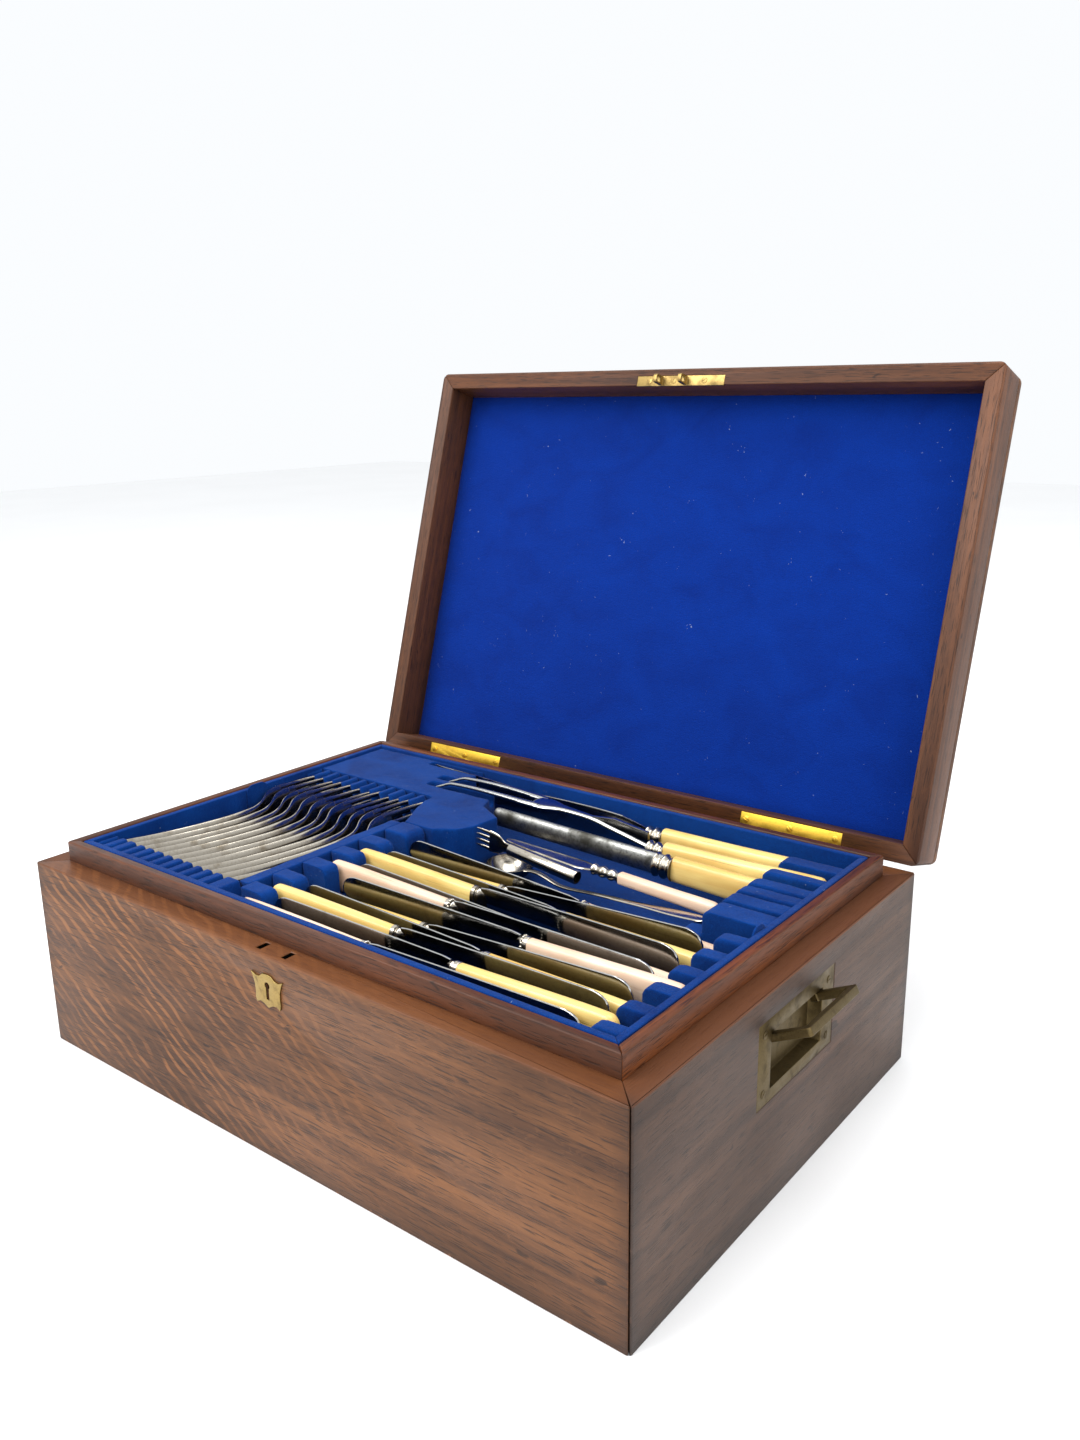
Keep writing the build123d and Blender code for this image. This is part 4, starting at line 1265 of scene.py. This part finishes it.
@dataclass
class Chest:
    """The mitred oak box with its dust lip, lock, hinges' lower leaves and flush handles."""

    shop: Workshop
    look: Palette
    edge: float = 0.7
    lining_edge: float = 1.1
    shield_edge: float = 0.22
    metal_edge: float = 0.28
    cup_edge: float = 0.35
    bail_edge: float = 0.9
    well_felt: tuple[float, float, float, float] = (218.2, 141.2, 10.5, 9.1)
    plate_x: float = 240.0
    plate_z: float = 91.8
    plate_screw_y: float = 38.0
    plate_screw_z: float = 17.5

    def build(self) -> None:
        """Builds the sub-assembly piece by piece."""
        self.timber()
        self.lock()
        self.hinges()
        self.handles()

    def timber(self) -> None:
        """Boards and linings with worn edges; the hidden base and bearers are painted."""
        boards = {
            "front": self.look.front, "back": self.look.back, "left": self.look.left, "right": self.look.right
        }
        for side, finish in boards.items():
            node = f"{side}_board"
            self.shop.settle(self.shop.eased(node, self.edge), Body.CASE, Slot.OAK, finish, node)
        for side in boards:
            node = f"{side}_lining"
            finish = self.look.lining_x if side in ("front", "back") else self.look.lining_y
            self.shop.settle(self.shop.eased(node, self.lining_edge), Body.CASE, Slot.DARK_OAK, finish, node)
        self.shop.paint("base_board", self.look.lining_x)
        self.shop.paint("tray_bearers", self.look.lining_y)
        felt = felt_sheet("well_floor_felt", *self.well_felt, straight, 1.0)
        made = self.shop.add("well_floor_felt", felt)
        self.shop.settle(made, Body.CASE, Slot.FELT, self.look.baize, "well_felt")

    def lock(self) -> None:
        """The shield with its keyhole; the lock's case and bolt are painted, the case near-black iron that
        gives the keyhole painted shade.
        """
        shield = self.shop.eased("escutcheon", self.shield_edge)
        self.shop.settle(shield, Body.CASE, Slot.AGED, self.look.worn, "escutcheon")
        self.shop.paint("lock_case", self.look.iron_with_keyhole_shade)
        self.shop.paint("lock_bolt", self.look.steel)

    def hinges(self) -> None:
        """Lower leaves, pins and screws."""
        for side in ("left", "right"):
            node = f"hinge_case_leaf_{side}"
            leaf = self.shop.eased(node, self.metal_edge)
            self.shop.settle(leaf, Body.CASE, Slot.BRASS, self.look.hinge, node)
        profile = [(-38.0, 0.2), (-37.9, 0.9), (-37.6, 1.2), (37.6, 1.2), (37.9, 0.9), (38.0, 0.2)]
        pin = skin("hinge_pin", [lathe(profile, 20)])
        places = [(Vector((x, AXIS_Y, AXIS_Z)) * MM, Vector()) for x in (-HINGE_X, HINGE_X)]
        pins = self.shop.spread("hinge_pins.round", pin, places, self.look.hinge)
        self.shop.settle(pins, Body.CASE, Slot.BRASS, self.look.hinge, "hinge_pins")
        places = [
            (Vector((x + along, HINGE_SCREW_Y, LEDGE_Z)) * MM, Vector())
            for x in (-HINGE_X, HINGE_X)
            for along in HINGE_SCREWS
        ]
        screws = self.shop.spread("case_screws.slotted", screw_head(), places, self.look.hinge, SCREW_TURN)
        self.shop.settle(screws, Body.CASE, Slot.BRASS, self.look.hinge, "hinge_case_screws")

    def handles(self) -> None:
        """Flush plates with their cups, their screws and the square-section bails."""
        for side, body in (("left", Body.BAIL_LEFT), ("right", Body.BAIL_RIGHT)):
            cup = self.shop.eased(f"handle_cup_{side}", self.cup_edge)
            self.shop.settle(cup, Body.CASE, Slot.AGED, self.look.aged, f"handle_cup_{side}")
            bail = self.shop.eased(f"bail_{side}", self.bail_edge)
            self.shop.settle(bail, body, Slot.AGED, self.look.aged, f"bail_{side}")
        places = [
            (Vector((sign * self.plate_x, y, self.plate_z + z)) * MM, Vector((0.0, sign * math.pi / 2, 0.0)))
            for sign in (-1, 1)
            for y in (-self.plate_screw_y, self.plate_screw_y)
            for z in (-self.plate_screw_z, self.plate_screw_z)
        ]
        screws = self.shop.spread("handle_screws.slotted", screw_head(), places, self.look.aged, SCREW_TURN)
        self.shop.settle(screws, Body.CASE, Slot.AGED, self.look.aged, "handle_screws")


def straight(x: float, y: float, z: float) -> Vector:
    """A point in millimetres where it is, in metres."""
    return Vector((x, y, z)) * MM


def felt_sheet(
    name: str, half_x: float, half_y: float, face: float, back: float, carry: Carry, side: float
) -> Mesh:
    """A glued felt lining with a gently uneven face and rolled edges.

    Args:
        name: The mesh's name.
        half_x: Half its length, in millimetres.
        half_y: Half its depth, in millimetres.
        face: The height of its face, in millimetres.
        back: The height of its glued side, in millimetres.
        carry: Takes a point in millimetres to its place in metres.
        side: 1 where the face looks up and -1 where it looks down.

    Returns:
        The closed mesh.
    """
    made = bmesh.new()
    count_x, count_y = 130, 86
    edge_roll, edge_wide = 0.7, 3.0
    swell, broad, fine = 0.22, 34.0, 9.0
    grids = []
    for level, uneven in ((face, 1.0), (back, 0.0)):
        rows = []
        for j in range(count_y + 1):
            row = []
            for i in range(count_x + 1):
                x = half_x * (2 * i / count_x - 1)
                y = half_y * (2 * j / count_y - 1)
                inset = min(half_x - abs(x), half_y - abs(y))
                roll = edge_roll * max(0.0, 1 - inset / edge_wide) ** 2
                slow = noise.noise(Vector((x, y, 1.0)) / broad)
                quick = noise.noise(Vector((x, y, 5.0)) / fine)
                wave = swell * (slow + 0.5 * quick + 1)
                row.append(made.verts.new(carry(x, y, level - side * uneven * (roll + wave))))
            rows.append(row)
        grids.append(rows)
    top, under = grids
    for j in range(count_y):
        for i in range(count_x):
            made.faces.new((top[j][i], top[j][i + 1], top[j + 1][i + 1], top[j + 1][i]))
            made.faces.new((under[j][i], under[j + 1][i], under[j + 1][i + 1], under[j][i + 1]))
    for i in range(count_x):
        made.faces.new((under[0][i], under[0][i + 1], top[0][i + 1], top[0][i]))
        made.faces.new((top[-1][i], top[-1][i + 1], under[-1][i + 1], under[-1][i]))
    for j in range(count_y):
        made.faces.new((top[j][0], top[j + 1][0], under[j + 1][0], under[j][0]))
        made.faces.new((under[j][-1], under[j + 1][-1], top[j + 1][-1], top[j][-1]))
    bmesh.ops.recalc_face_normals(made, faces=made.faces)
    return close_mesh(made, name, 60.0)


@dataclass
class Lid:
    """The shallow lid, open on its stops: rails, top board, felt, link plate and upper leaves."""

    shop: Workshop
    look: Palette
    rail_edge: float = 0.7
    board_edge: float = 0.6
    leaf_edge: float = 0.28
    plate_edge: float = 0.3
    felt: tuple[float, float, float, float] = (227.4, 150.4, 159.5, 160.95)
    plate_y: float = -154.0
    plate_screws: tuple[float, ...] = (-27.0, -5.6, 21.0)

    def build(self) -> None:
        """Builds the sub-assembly piece by piece."""
        for side in ("front", "back", "left", "right"):
            node = f"lid_{side}_rail"
            finish = self.look.rail_x if side in ("front", "back") else self.look.rail_y
            self.shop.settle(self.shop.eased(node, self.rail_edge), Body.LID, Slot.LID_OAK, finish, node)
        board = self.shop.eased("lid_top_board", self.board_edge)
        self.shop.settle(board, Body.LID, Slot.LID_OAK, self.look.lid_top, "lid_top_board")
        felt = felt_sheet("lid_lining_felt", *self.felt, opened, -1.0)
        made = self.shop.add("lid_lining_felt", felt)
        self.shop.settle(made, Body.LID, Slot.FELT, self.look.lid_felt, "lid_felt")
        for side in ("left", "right"):
            node = f"hinge_lid_leaf_{side}"
            leaf = self.shop.eased(node, self.leaf_edge)
            self.shop.settle(leaf, Body.LID, Slot.BRASS, self.look.hinge, node)
        plate = self.shop.eased("link_plate", self.plate_edge)
        self.shop.settle(plate, Body.LID, Slot.AGED, self.look.worn, "link_plate")
        self.screws()

    def screws(self) -> None:
        """Slotted screws of the upper leaves and of the link plate, facing out of the open lid."""
        turn = Vector((math.radians(180.0 - LID_OPEN), 0.0, 0.0))
        leaf = [
            (opened(x + along, HINGE_SCREW_Y, LID_Z0), turn)
            for x in (-HINGE_X, HINGE_X)
            for along in HINGE_SCREWS
        ]
        made = self.shop.spread("lid_screws.slotted", screw_head(), leaf, self.look.hinge, SCREW_TURN)
        self.shop.settle(made, Body.LID, Slot.BRASS, self.look.hinge, "hinge_lid_screws")
        plate = [(opened(x, self.plate_y, LID_Z0), turn) for x in self.plate_screws]
        made = self.shop.spread("link_screws.slotted", screw_head(), plate, self.look.worn, SCREW_TURN)
        self.shop.settle(made, Body.LID, Slot.AGED, self.look.worn, "link_plate_screws")


@dataclass
class Tray:
    """The lift-out tray: its box and the cloth-covered racks."""

    shop: Workshop
    look: Palette
    wall_edge: float = 0.8
    tab_edge: float = 0.3
    skin_grid: float = 1.1
    skin_swell: float = 0.3
    racks: tuple[str, ...] = (
        "fork_comb",
        "fork_head_ribs",
        "fork_knife_divider",
        "knife_ribs_left",
        "knife_ribs_right",
        "plateau",
        "carving_ribs",
    )

    def build(self) -> None:
        """Builds the sub-assembly piece by piece."""
        for node in ("tray_base", "tray_front_wall", "tray_back_wall", "tray_left_wall", "tray_right_wall"):
            wall = self.shop.eased(node, self.wall_edge)
            self.shop.settle(wall, Body.TRAY, Slot.BAIZE, self.look.baize, node)
        tabs = self.shop.eased("lifting_tabs", self.tab_edge)
        self.shop.settle(tabs, Body.TRAY, Slot.BAIZE, self.look.baize, "lifting_tabs")
        for node in self.racks:
            wrapped = self.shop.felted(node, self.skin_grid, self.skin_swell)
            self.shop.settle(wrapped, Body.TRAY, Slot.BAIZE, self.look.baize, node)


# ------------------------------------------------------------------ cutlery


@dataclass
class TableForks:
    """Twelve plated forks nested on edge in the comb, handles to the front."""

    shop: Workshop
    look: Palette
    count: int = 12
    first: Triple = (-204.8, -131.0, 130.7)
    pitch: float = 10.25
    lean: float = -18.0
    bow: Table = (
        (0, 0), (34, 2.4), (70, 6.4), (104, 9.2), (122, 6.6), (146, -1.6), (168, -3.4), (188, -1.4),
        (200, 2.6),
    )
    thick: Table = (
        (0, 0.8), (34, 1.1), (70, 1.4), (104, 1.7), (122, 1.5), (146, 1.1), (168, 0.9), (188, 0.8), (200, 0.6)
    )
    wide: Table = (
        (0, 2.0), (1.2, 5.4), (4, 8.4), (9, 9.9), (14, 10.0), (30, 8.2), (50, 6.0), (75, 4.3), (100, 3.3),
        (116, 3.4), (128, 5.2), (139, 10.2), (148, 11.8), (158, 12.1), (200, 9.8),
    )

    def one(self) -> Mesh:
        """One fork: its strip and its four tapered tines.

        Returns:
            The mesh, butt at the origin and tines forward.
        """
        strip = Bar((0, 161), self.wide, self.thick, self.bow, square=2.6, steps=64, points=18)
        stacks = [strip.rings()]
        for inner, outer in ((1.0, 5.0), (7.0, 12.0)):
            for sign in (-1, 1):
                middle = sign * (inner + outer) / 2
                half = ((154, (outer - inner) / 2 + 0.2), (166, 1.9), (188, 1.45), (196, 1.0), (200, 0.35))
                lie = ((154, middle), (176, middle * 0.97), (200, middle * 0.84))
                thin = ((154, 0.9), (188, 0.8), (200, 0.3))
                tine = Bar((154, 200), half, thin, self.bow, lie, steps=20, points=10)
                stacks.append(tine.rings())
        return skin("table_fork", stacks, (1, 0, 2))

    def build(self) -> None:
        """Runs the row tree on one fork."""
        row = self.shop.run(
            "table_forks.row",
            self.shop.row,
            self.one(),
            Count=self.count,
            Start=tuple(v * MM for v in self.first),
            Pitch=(self.pitch * MM, 0.0, 0.0),
            Lean=(0.0, math.radians(self.lean), 0.0),
            Loose_Turn=(0.006, 0.02, 0.003),
            Seed=11,
            Finish=self.look.plate,
        )
        self.shop.settle(row, Body.TRAY, Slot.PLATE, self.look.plate, "table_forks")


@dataclass
class TableKnives:
    """Twelve table knives on edge, alternately head to tail, their handles in two shades."""

    shop: Workshop
    look: Palette
    blade_long: float = 148.0
    handle_long: float = 104.0
    lie_z: float = 131.0
    left: tuple[tuple[float, float, float, float, bool], ...] = (
        (38.0, -130.4, 1.4, 0.0, True),
        (38.0, -104.8, 1.0, 0.0, False),
        (39.0, -81.0, 0.0, 10.5, False),
        (38.0, -56.1, -0.6, 0.0, True),
        (38.0, -31.4, -0.8, 0.0, False),
        (38.0, -6.6, -0.7, 13.5, False),
    )
    right: tuple[tuple[float, float, float, float, bool], ...] = (
        (97.0, -114.7, 0.4, 0.0, False),
        (97.0, -91.6, 0.2, 6.5, False),
        (107.5, -67.3, 0.7, 1.0, True),
        (98.0, -46.0, 0.7, 11.0, True),
        (97.0, -22.0, 0.3, 8.0, False),
        (97.0, 1.0, 0.0, 13.0, True),
    )

    def places(self) -> list[tuple[tuple[Vector, Vector], bool]]:
        """Where each knife's neck lies and how it is turned, with its handle's shade.

        Returns:
            A neck's point and angles, and whether the handle is pale.
        """
        found = []
        long = self.blade_long + self.handle_long
        for knives, turn in ((self.left, 0.0), (self.right, 180.0)):
            for neck_x, butt_y, yaw, drop, pale in knives:
                sign = 1 if turn == 0 else -1
                tip_y = butt_y + sign * long * math.sin(math.radians(yaw))
                pitch = math.degrees(math.asin(drop / long))
                place = placed(neck_x + sign * self.blade_long, tip_y, self.lie_z, turn + yaw, -pitch)
                neck = place @ Vector((-self.blade_long * MM, 0.0, 0.0))
                found.append(((neck, Vector(place.to_euler())), pale))
        return found

    def blade(self) -> Mesh:
        """A round-tipped blade.

        Returns:
            The mesh, neck at the origin.
        """
        spine = ((5, 9.0), (12, 9.8), (136, 10.6), (142.4, 9.0), (146.4, 4.8), (148, -1.0))
        edge = ((5, -7.6), (138, -9.2), (143, -8.2), (146.6, -5.0), (148, -1.0))
        return skin("table_blade", [Blade((5.0, 148.0), spine, edge, 1.8).rings()])

    def bolster(self, beaded: bool) -> Mesh:
        """The cap and neck between handle and blade, with a ring of beads on the finer knives.

        Args:
            beaded: Whether it has the ring of beads.

        Returns:
            The mesh.
        """
        wide = (
            (-1.6, 8.3), (-1.2, 8.9), (1.4, 8.9), (1.8, 7.8), (2.8, 7.8), (3.3, 8.2), (4.4, 7.8), (6.0, 7.4),
            (9.0, 6.0),
        )
        thick = (
            (-1.6, 4.3), (-1.2, 4.8), (1.4, 4.8), (1.8, 3.7), (2.8, 3.6), (3.3, 3.9), (4.4, 3.4), (6.0, 2.0),
            (9.0, 0.9),
        )
        cap = skin("bolster", [Bar((-1.6, 9.0), wide, thick, square=2.3, steps=40, points=24).rings()])
        if not beaded:
            return cap
        size = {"Half Size": (1.0, 4.5 * MM, 8.7 * MM), "Place": (2.2 * MM, 0.0, 0.0), "Bead": 0.95 * MM}
        empty = bpy.data.meshes.new("bead_base")
        ring = self.shop.run(
            "bead_ring.scratch", self.shop.beads, empty, Beads=22, Finish=self.look.plate, **size
        )
        both = joined("beaded_bolster", [cap, ring.data])
        bpy.data.objects.remove(ring)
        return both

    def handle(self) -> Mesh:
        """A flat oval handle that deepens towards its eased butt.

        Returns:
            The mesh, neck at the origin.
        """
        wide = ((-104, 10.0), (-90, 10.3), (-50, 9.5), (-1, 8.2))
        thick = ((-104, 4.3), (-50, 4.5), (-1, 4.2))
        bar = Bar((-104.0, -1.0), wide, thick, square=3.0, steps=44, points=28, round_low=6.0)
        return skin("table_handle", [bar.rings()])

    def build(self) -> None:
        """Sets blades, bolsters and handles through the copies tree."""
        places = self.places()
        every = [place for place, _ in places]
        pale = [place for place, is_pale in places if is_pale]
        yellow = [place for place, is_pale in places if not is_pale]
        blades = self.shop.spread("table_blades.ground", self.blade(), every, self.look.blade)
        self.shop.settle(blades, Body.TRAY, Slot.STEEL, self.look.blade, "knife_blades")
        caps = self.shop.spread("table_bolsters.plain", self.bolster(False), yellow, self.look.plate)
        self.shop.settle(caps, Body.TRAY, Slot.PLATE, self.look.plate)
        caps = self.shop.spread("table_bolsters.beaded", self.bolster(True), pale, self.look.plate)
        self.shop.settle(caps, Body.TRAY, Slot.PLATE, self.look.plate)
        grips = self.shop.spread("table_handles.yellow", self.handle(), yellow, self.look.yellow)
        self.shop.settle(grips, Body.TRAY, Slot.YELLOW, self.look.yellow, "knife_handles_yellow")
        grips = self.shop.spread("table_handles.pale", self.handle(), pale, self.look.pale)
        self.shop.settle(grips, Body.TRAY, Slot.PALE, self.look.pale, "knife_handles_pale")


def grip(long: float, butt: float, neck: float, thick: float) -> Mesh:
    """A handle from 0 forward along X, deeper at its eased butt, in millimetres.

    Args:
        long: Its length.
        butt: Half its depth at the butt.
        neck: Half its depth at the neck.
        thick: Its thickness.

    Returns:
        The mesh.
    """
    wide = ((0, neck), (long * 0.5, (neck + butt) / 2 - 0.2), (long - 8, butt), (long, butt * 0.96))
    bar = Bar((0.0, long), wide, ((0, thick / 2), (long, thick / 2)), square=2.8, points=28, round_high=5.0)
    return skin("grip", [bar.rings()])


@dataclass
class CarvingSet:
    """Carving knife, fork with its folded guard, and steel, along the back."""

    shop: Workshop
    look: Palette
    knife: Matrix = field(default_factory=lambda: placed(75.0, 125.4, 129.0, -1.0))
    fork: Matrix = field(default_factory=lambda: placed(92.0, 100.2, 131.0))
    steel: Matrix = field(default_factory=lambda: placed(111.0, 79.9, 131.0, 0.0, 1.8))

    def build(self) -> None:
        """Builds the three tools and their handles."""
        settle = self.shop.settle
        knife = self.shop.add("carving_knife.ground", self.knife_mesh())
        settle(knife, Body.TRAY, Slot.STEEL, self.look.blade, "carving_knife")
        fork = self.shop.add("carving_fork.forged", self.fork_mesh())
        settle(fork, Body.TRAY, Slot.STEEL, self.look.blade, "carving_fork")
        rod = self.shop.add("sharpening_steel.rod", self.steel_mesh())
        settle(rod, Body.TRAY, Slot.STEEL, self.look.steel, "sharpening_steel")
        grips = [
            moved(grip(110.0, 9.6, 8.2, 10.4), self.knife),
            moved(grip(117.0, 9.8, 7.6, 10.0), self.fork),
            moved(grip(100.0, 10.4, 8.6, 9.2), self.steel),
        ]
        made = self.shop.add("carving_handles.yellow", joined("carving_grips", grips))
        settle(made, Body.TRAY, Slot.YELLOW, self.look.yellow, "carving_handles")
        caps = [
            moved(skin("cap", [ferrule(2, 7.4, 13.0)]), self.knife),
            moved(skin("cap", [ferrule(2, 6.4, 13.0)]), self.fork),
            moved(skin("cap", [ferrule(2, 8.4, 13.0)]), self.steel),
        ]
        made = self.shop.add("carving_ferrules.turned", joined("carving_caps", caps))
        settle(made, Body.TRAY, Slot.PLATE, self.look.plate)

    def knife_mesh(self) -> Mesh:
        """A curved carving blade with its shoulder.

        Returns:
            The mesh, in place.
        """
        spine = ((-12, 5.5), (-17, 6.5), (-37, 10.3), (-65, 11.2), (-113, 10.8), (-176, 13.4), (-220, 14.0))
        edge = (
            (-12, -5.5), (-18, -11.0), (-70, -11.6), (-130, -9.0), (-180, -1.0), (-208, 8.0), (-220, 14.0)
        )
        return moved(
            skin("carving_blade", [Blade((-220.0, -12.0), spine, edge, 2.2, 60).rings()]), self.knife
        )

    def fork_mesh(self) -> Mesh:
        """A bowed shank that splits into two prongs, with the guard folded along it.

        Returns:
            The mesh, in place.
        """
        bow = (
            (-8, 0), (-42, 7.5), (-64, 12.0), (-110, 14.6), (-160, 16.0), (-184, 15.4), (-197, 11.5),
            (-207, 7.6),
        )
        thick = (
            (-8, 2.5), (-42, 2.3), (-64, 2.1), (-110, 1.9), (-160, 1.6), (-184, 1.3), (-197, 1.0), (-207, 0.4)
        )
        wide = ((-8, 3.2), (-64, 3.0), (-84, 4.2), (-100, 9.0), (-112, 10.2))
        stacks = [Bar((-112.0, -8.0), wide, thick, bow, square=2.3, round_low=5.0).rings()]
        for sign in (-1, 1):
            lie = ((-104, sign * 6.4), (-114, sign * 7.3), (-150, sign * 7.95), (-207, sign * 7.8))
            half = ((-104, 2.9), (-114, 2.8), (-150, 1.95), (-195, 1.5), (-207, 0.4))
            stacks.append(Bar((-207.0, -104.0), half, thick, bow, lie, points=12).rings())
        shank = skin("carving_fork", stacks, (0, 2, 1))
        outline = ((-14, 1.0), (-14, 12.0), (-42, 16.0), (-64, 13.6), (-64, 11.0), (-42, 6.0))
        guard = prism("guard", [outline], -1.3, 1.3, 0.5)
        guard.transform(Matrix.Rotation(math.pi / 2, 4, "X"))
        return moved(joined("carving_fork", [shank, guard]), self.fork)

    def steel_mesh(self) -> Mesh:
        """A flat oval sharpening rod with a rounded nose.

        Returns:
            The mesh, in place.
        """
        rod = Bar(
            (-153.0, -6.0), ((-153, 7.0), (-6, 7.6)), ((-153, 3.8), (-6, 4.0)), points=24, round_low=5.0
        )
        return moved(skin("steel_rod", [rod.rings()]), self.steel)


@dataclass
class ServingPieces:
    """The loose pieces in the middle of the tray: a server, a spoon and a fork with a tube handle."""

    shop: Workshop
    look: Palette
    server: Matrix = field(default_factory=lambda: placed(90.0, 49.0, 130.0, -3.5, 1.2))
    spoon: Matrix = field(default_factory=lambda: placed(-5.5, 52.5, 123.1, -8.3))
    tube: Matrix = field(default_factory=lambda: placed(63.0, 38.5, 127.0, -1.5, 6.0))

    def build(self) -> None:
        """Builds the three pieces."""
        settle = self.shop.settle
        blade = self.shop.add("server_blade.flat", self.server_mesh())
        settle(blade, Body.TRAY, Slot.STEEL, self.look.plate, "server_blade")
        handle = self.shop.add("server_handle.turned", moved(grip(75.0, 4.6, 4.0, 7.6), self.server))
        settle(handle, Body.TRAY, Slot.PALE, self.look.pale, "server_handle")
        spoon = self.shop.add("serving_spoon.formed", self.spoon_mesh())
        settle(spoon, Body.TRAY, Slot.PLATE, self.look.plate, "serving_spoon")
        tube = self.shop.add("tube_fork.formed", self.tube_mesh())
        settle(tube, Body.TRAY, Slot.PLATE, self.look.plate, "tube_fork")

    def server_mesh(self) -> Mesh:
        """A narrowing flat blade and its turned ferrule.

        Returns:
            The mesh, in place.
        """
        wide = ((-100, 1.2), (-96, 3.0), (-70, 4.6), (-48, 5.8), (-34, 6.2), (-20, 2.6))
        blade = Bar((-100.0, -18.0), wide, ((-100, 0.6), (-18, 0.8)), square=3.0, round_low=1.5)
        stacks = [blade.rings(), ferrule(3, 3.9, 22.0)]
        return moved(skin("server", stacks, (0, 2, 1)), self.server)

    def spoon_mesh(self) -> Mesh:
        """A round bowl with a rolled rim and a stem that widens to its end.

        Returns:
            The mesh, in place.
        """
        outer = [(-19.0 * math.cos(a), 19.0 * math.sin(a)) for a in np.linspace(0.03, 1.22, 20)]
        inner = [(-17.6 * math.cos(a), 17.6 * math.sin(a)) for a in np.linspace(1.19, 0.03, 20)]
        bowl = lathe(outer + inner, 40)
        rise = ((15.6, -7.1), (28, -6.1), (50, -9.1), (80, -5.3), (140, 2.1), (174, 6.3))
        wide = ((14, 4.4), (24, 2.2), (60, 1.8), (120, 2.8), (152, 4.8), (168, 4.4), (174, 2.2))
        thick = ((15, 0.8), (28, 1.2), (80, 0.95), (174, 0.8))
        stem = Bar((16.2, 174.0), wide, thick, rise, square=2.2, round_high=2.0)
        parts = [skin("bowl", [bowl], (1, 2, 0)), skin("stem", [stem.rings()], (0, 2, 1))]
        return moved(joined("serving_spoon", parts), self.spoon)

    def tube_mesh(self) -> Mesh:
        """A thin open tube and a short four-tined head on edge.

        Returns:
            The mesh, in place.
        """
        tube = lathe([(-58.0, 3.9), (-57.0, 4.6), (-0.4, 4.6), (0.0, 4.4), (0.0, 3.7), (-40.0, 3.7)])
        wide = ((-54, 3.4), (-62, 3.6), (-68, 7.0), (-76, 7.9))
        head = Bar((-76.0, -54.0), wide, ((-76, 0.8), (-54, 0.8)), square=3.0)
        stacks = [tube, head.rings()]
        for middle in (-5.9, -1.95, 1.95, 5.9):
            half = ((-88, 0.4), (-84, 0.95), (-74, 1.45))
            thin = ((-88, 0.4), (-74, 0.8))
            lie = ((-88, middle), (-74, middle))
            stacks.append(Bar((-88.0, -74.0), half, thin, rise=lie, steps=14, points=10).rings())
        return moved(skin("tube_fork", stacks), self.tube)


# ------------------------------------------------------------------ studio


@dataclass
class Studio:
    """A plain pale floor, soft light and the camera at the photograph's place."""

    place: Triple = (0.4948, -0.5480, 0.4345)
    turn: Triple = (74.57985, 0.78288, 37.93349)
    focal: float = 36.0 * 1206.04 / 1440.0
    sky: Colour = (0.96, 0.98, 1.0)
    lights: tuple[tuple[str, Triple, Triple, float, float], ...] = (
        ("key", (-0.9, -1.5, 1.9), (0.0, 0.0, 0.15), 1.4, 46.0),
        ("fill", (1.9, -0.6, 1.3), (0.0, 0.0, 0.15), 1.6, 20.0),
        ("top", (0.1, 0.1, 2.2), (0.0, 0.0, 0.1), 1.5, 22.0),
    )

    def build(self) -> None:
        """Builds floor, lights, sky and camera."""
        made = bmesh.new()
        bmesh.ops.create_grid(made, x_segments=1, y_segments=1, size=5.0)
        floor = bpy.data.objects.new("floor", close_mesh(made, "floor", 30.0))
        bpy.context.scene.collection.objects.link(floor)
        shade = Shade("pale_floor")
        cloud = shade.noise(shade.place((3.0, 3.0, 3.0)), 2.0)
        shade.feed(shade.shader.inputs["Base Color"], shade.ramp(cloud, [(0.3, 0.92), (0.7, 0.94)]))
        shade.set(Roughness=0.7)
        floor.data.materials.append(shade.material)
        for lamp in self.lights:
            self.light(*lamp)
        world = bpy.data.worlds.new("soft_sky")
        world.use_nodes = True
        sky = world.node_tree.nodes["Background"]
        sky.inputs["Color"].default_value = (*self.sky, 1.0)
        sky.inputs["Strength"].default_value = 1.0
        bpy.context.scene.view_settings.view_transform = "Standard"
        bpy.context.scene.world = world
        self.camera()

    def light(self, name: str, place: Triple, aim: Triple, size: float, power: float) -> None:
        """Adds one square soft light that looks at a point.

        Args:
            name: The lamp's name.
            place: Where it is, in metres.
            aim: The point that it looks at.
            size: The length of its side, in metres.
            power: Its power, in watts.
        """
        lamp = bpy.data.lights.new(name, "AREA")
        lamp.size = size
        lamp.energy = power
        made = bpy.data.objects.new(name, lamp)
        made.location = place
        made.rotation_euler = (Vector(aim) - Vector(place)).to_track_quat("-Z", "Y").to_euler()
        bpy.context.scene.collection.objects.link(made)

    def camera(self) -> None:
        """Adds the camera that matches the photograph's view."""
        lens = bpy.data.cameras.new("camera")
        lens.sensor_width = 36.0
        lens.lens = self.focal
        lens.clip_start = 0.02
        made = bpy.data.objects.new("camera", lens)
        made.location = self.place
        made.rotation_euler = [math.radians(a) for a in self.turn]
        bpy.context.scene.collection.objects.link(made)
        bpy.context.scene.camera = made


def corners(box: Sequence[Sequence[float]]) -> list[list[float]]:
    """A box as plain lists of numbers."""
    return [[float(value) for value in corner] for corner in box]


def main() -> None:
    """Builds the studio and every sub-assembly in order."""
    logging.basicConfig(level=logging.INFO, format="%(name)s %(message)s")
    for left_over in list(bpy.data.objects):
        bpy.data.objects.remove(left_over, do_unlink=True)
    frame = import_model()
    look = Palette()
    shop = Workshop(frame["nodes"])
    for part in (Chest, Lid, Tray, TableForks, TableKnives, CarvingSet, ServingPieces):
        part(shop, look).build()
    Studio().build()


if __name__ == "__main__":
    main()
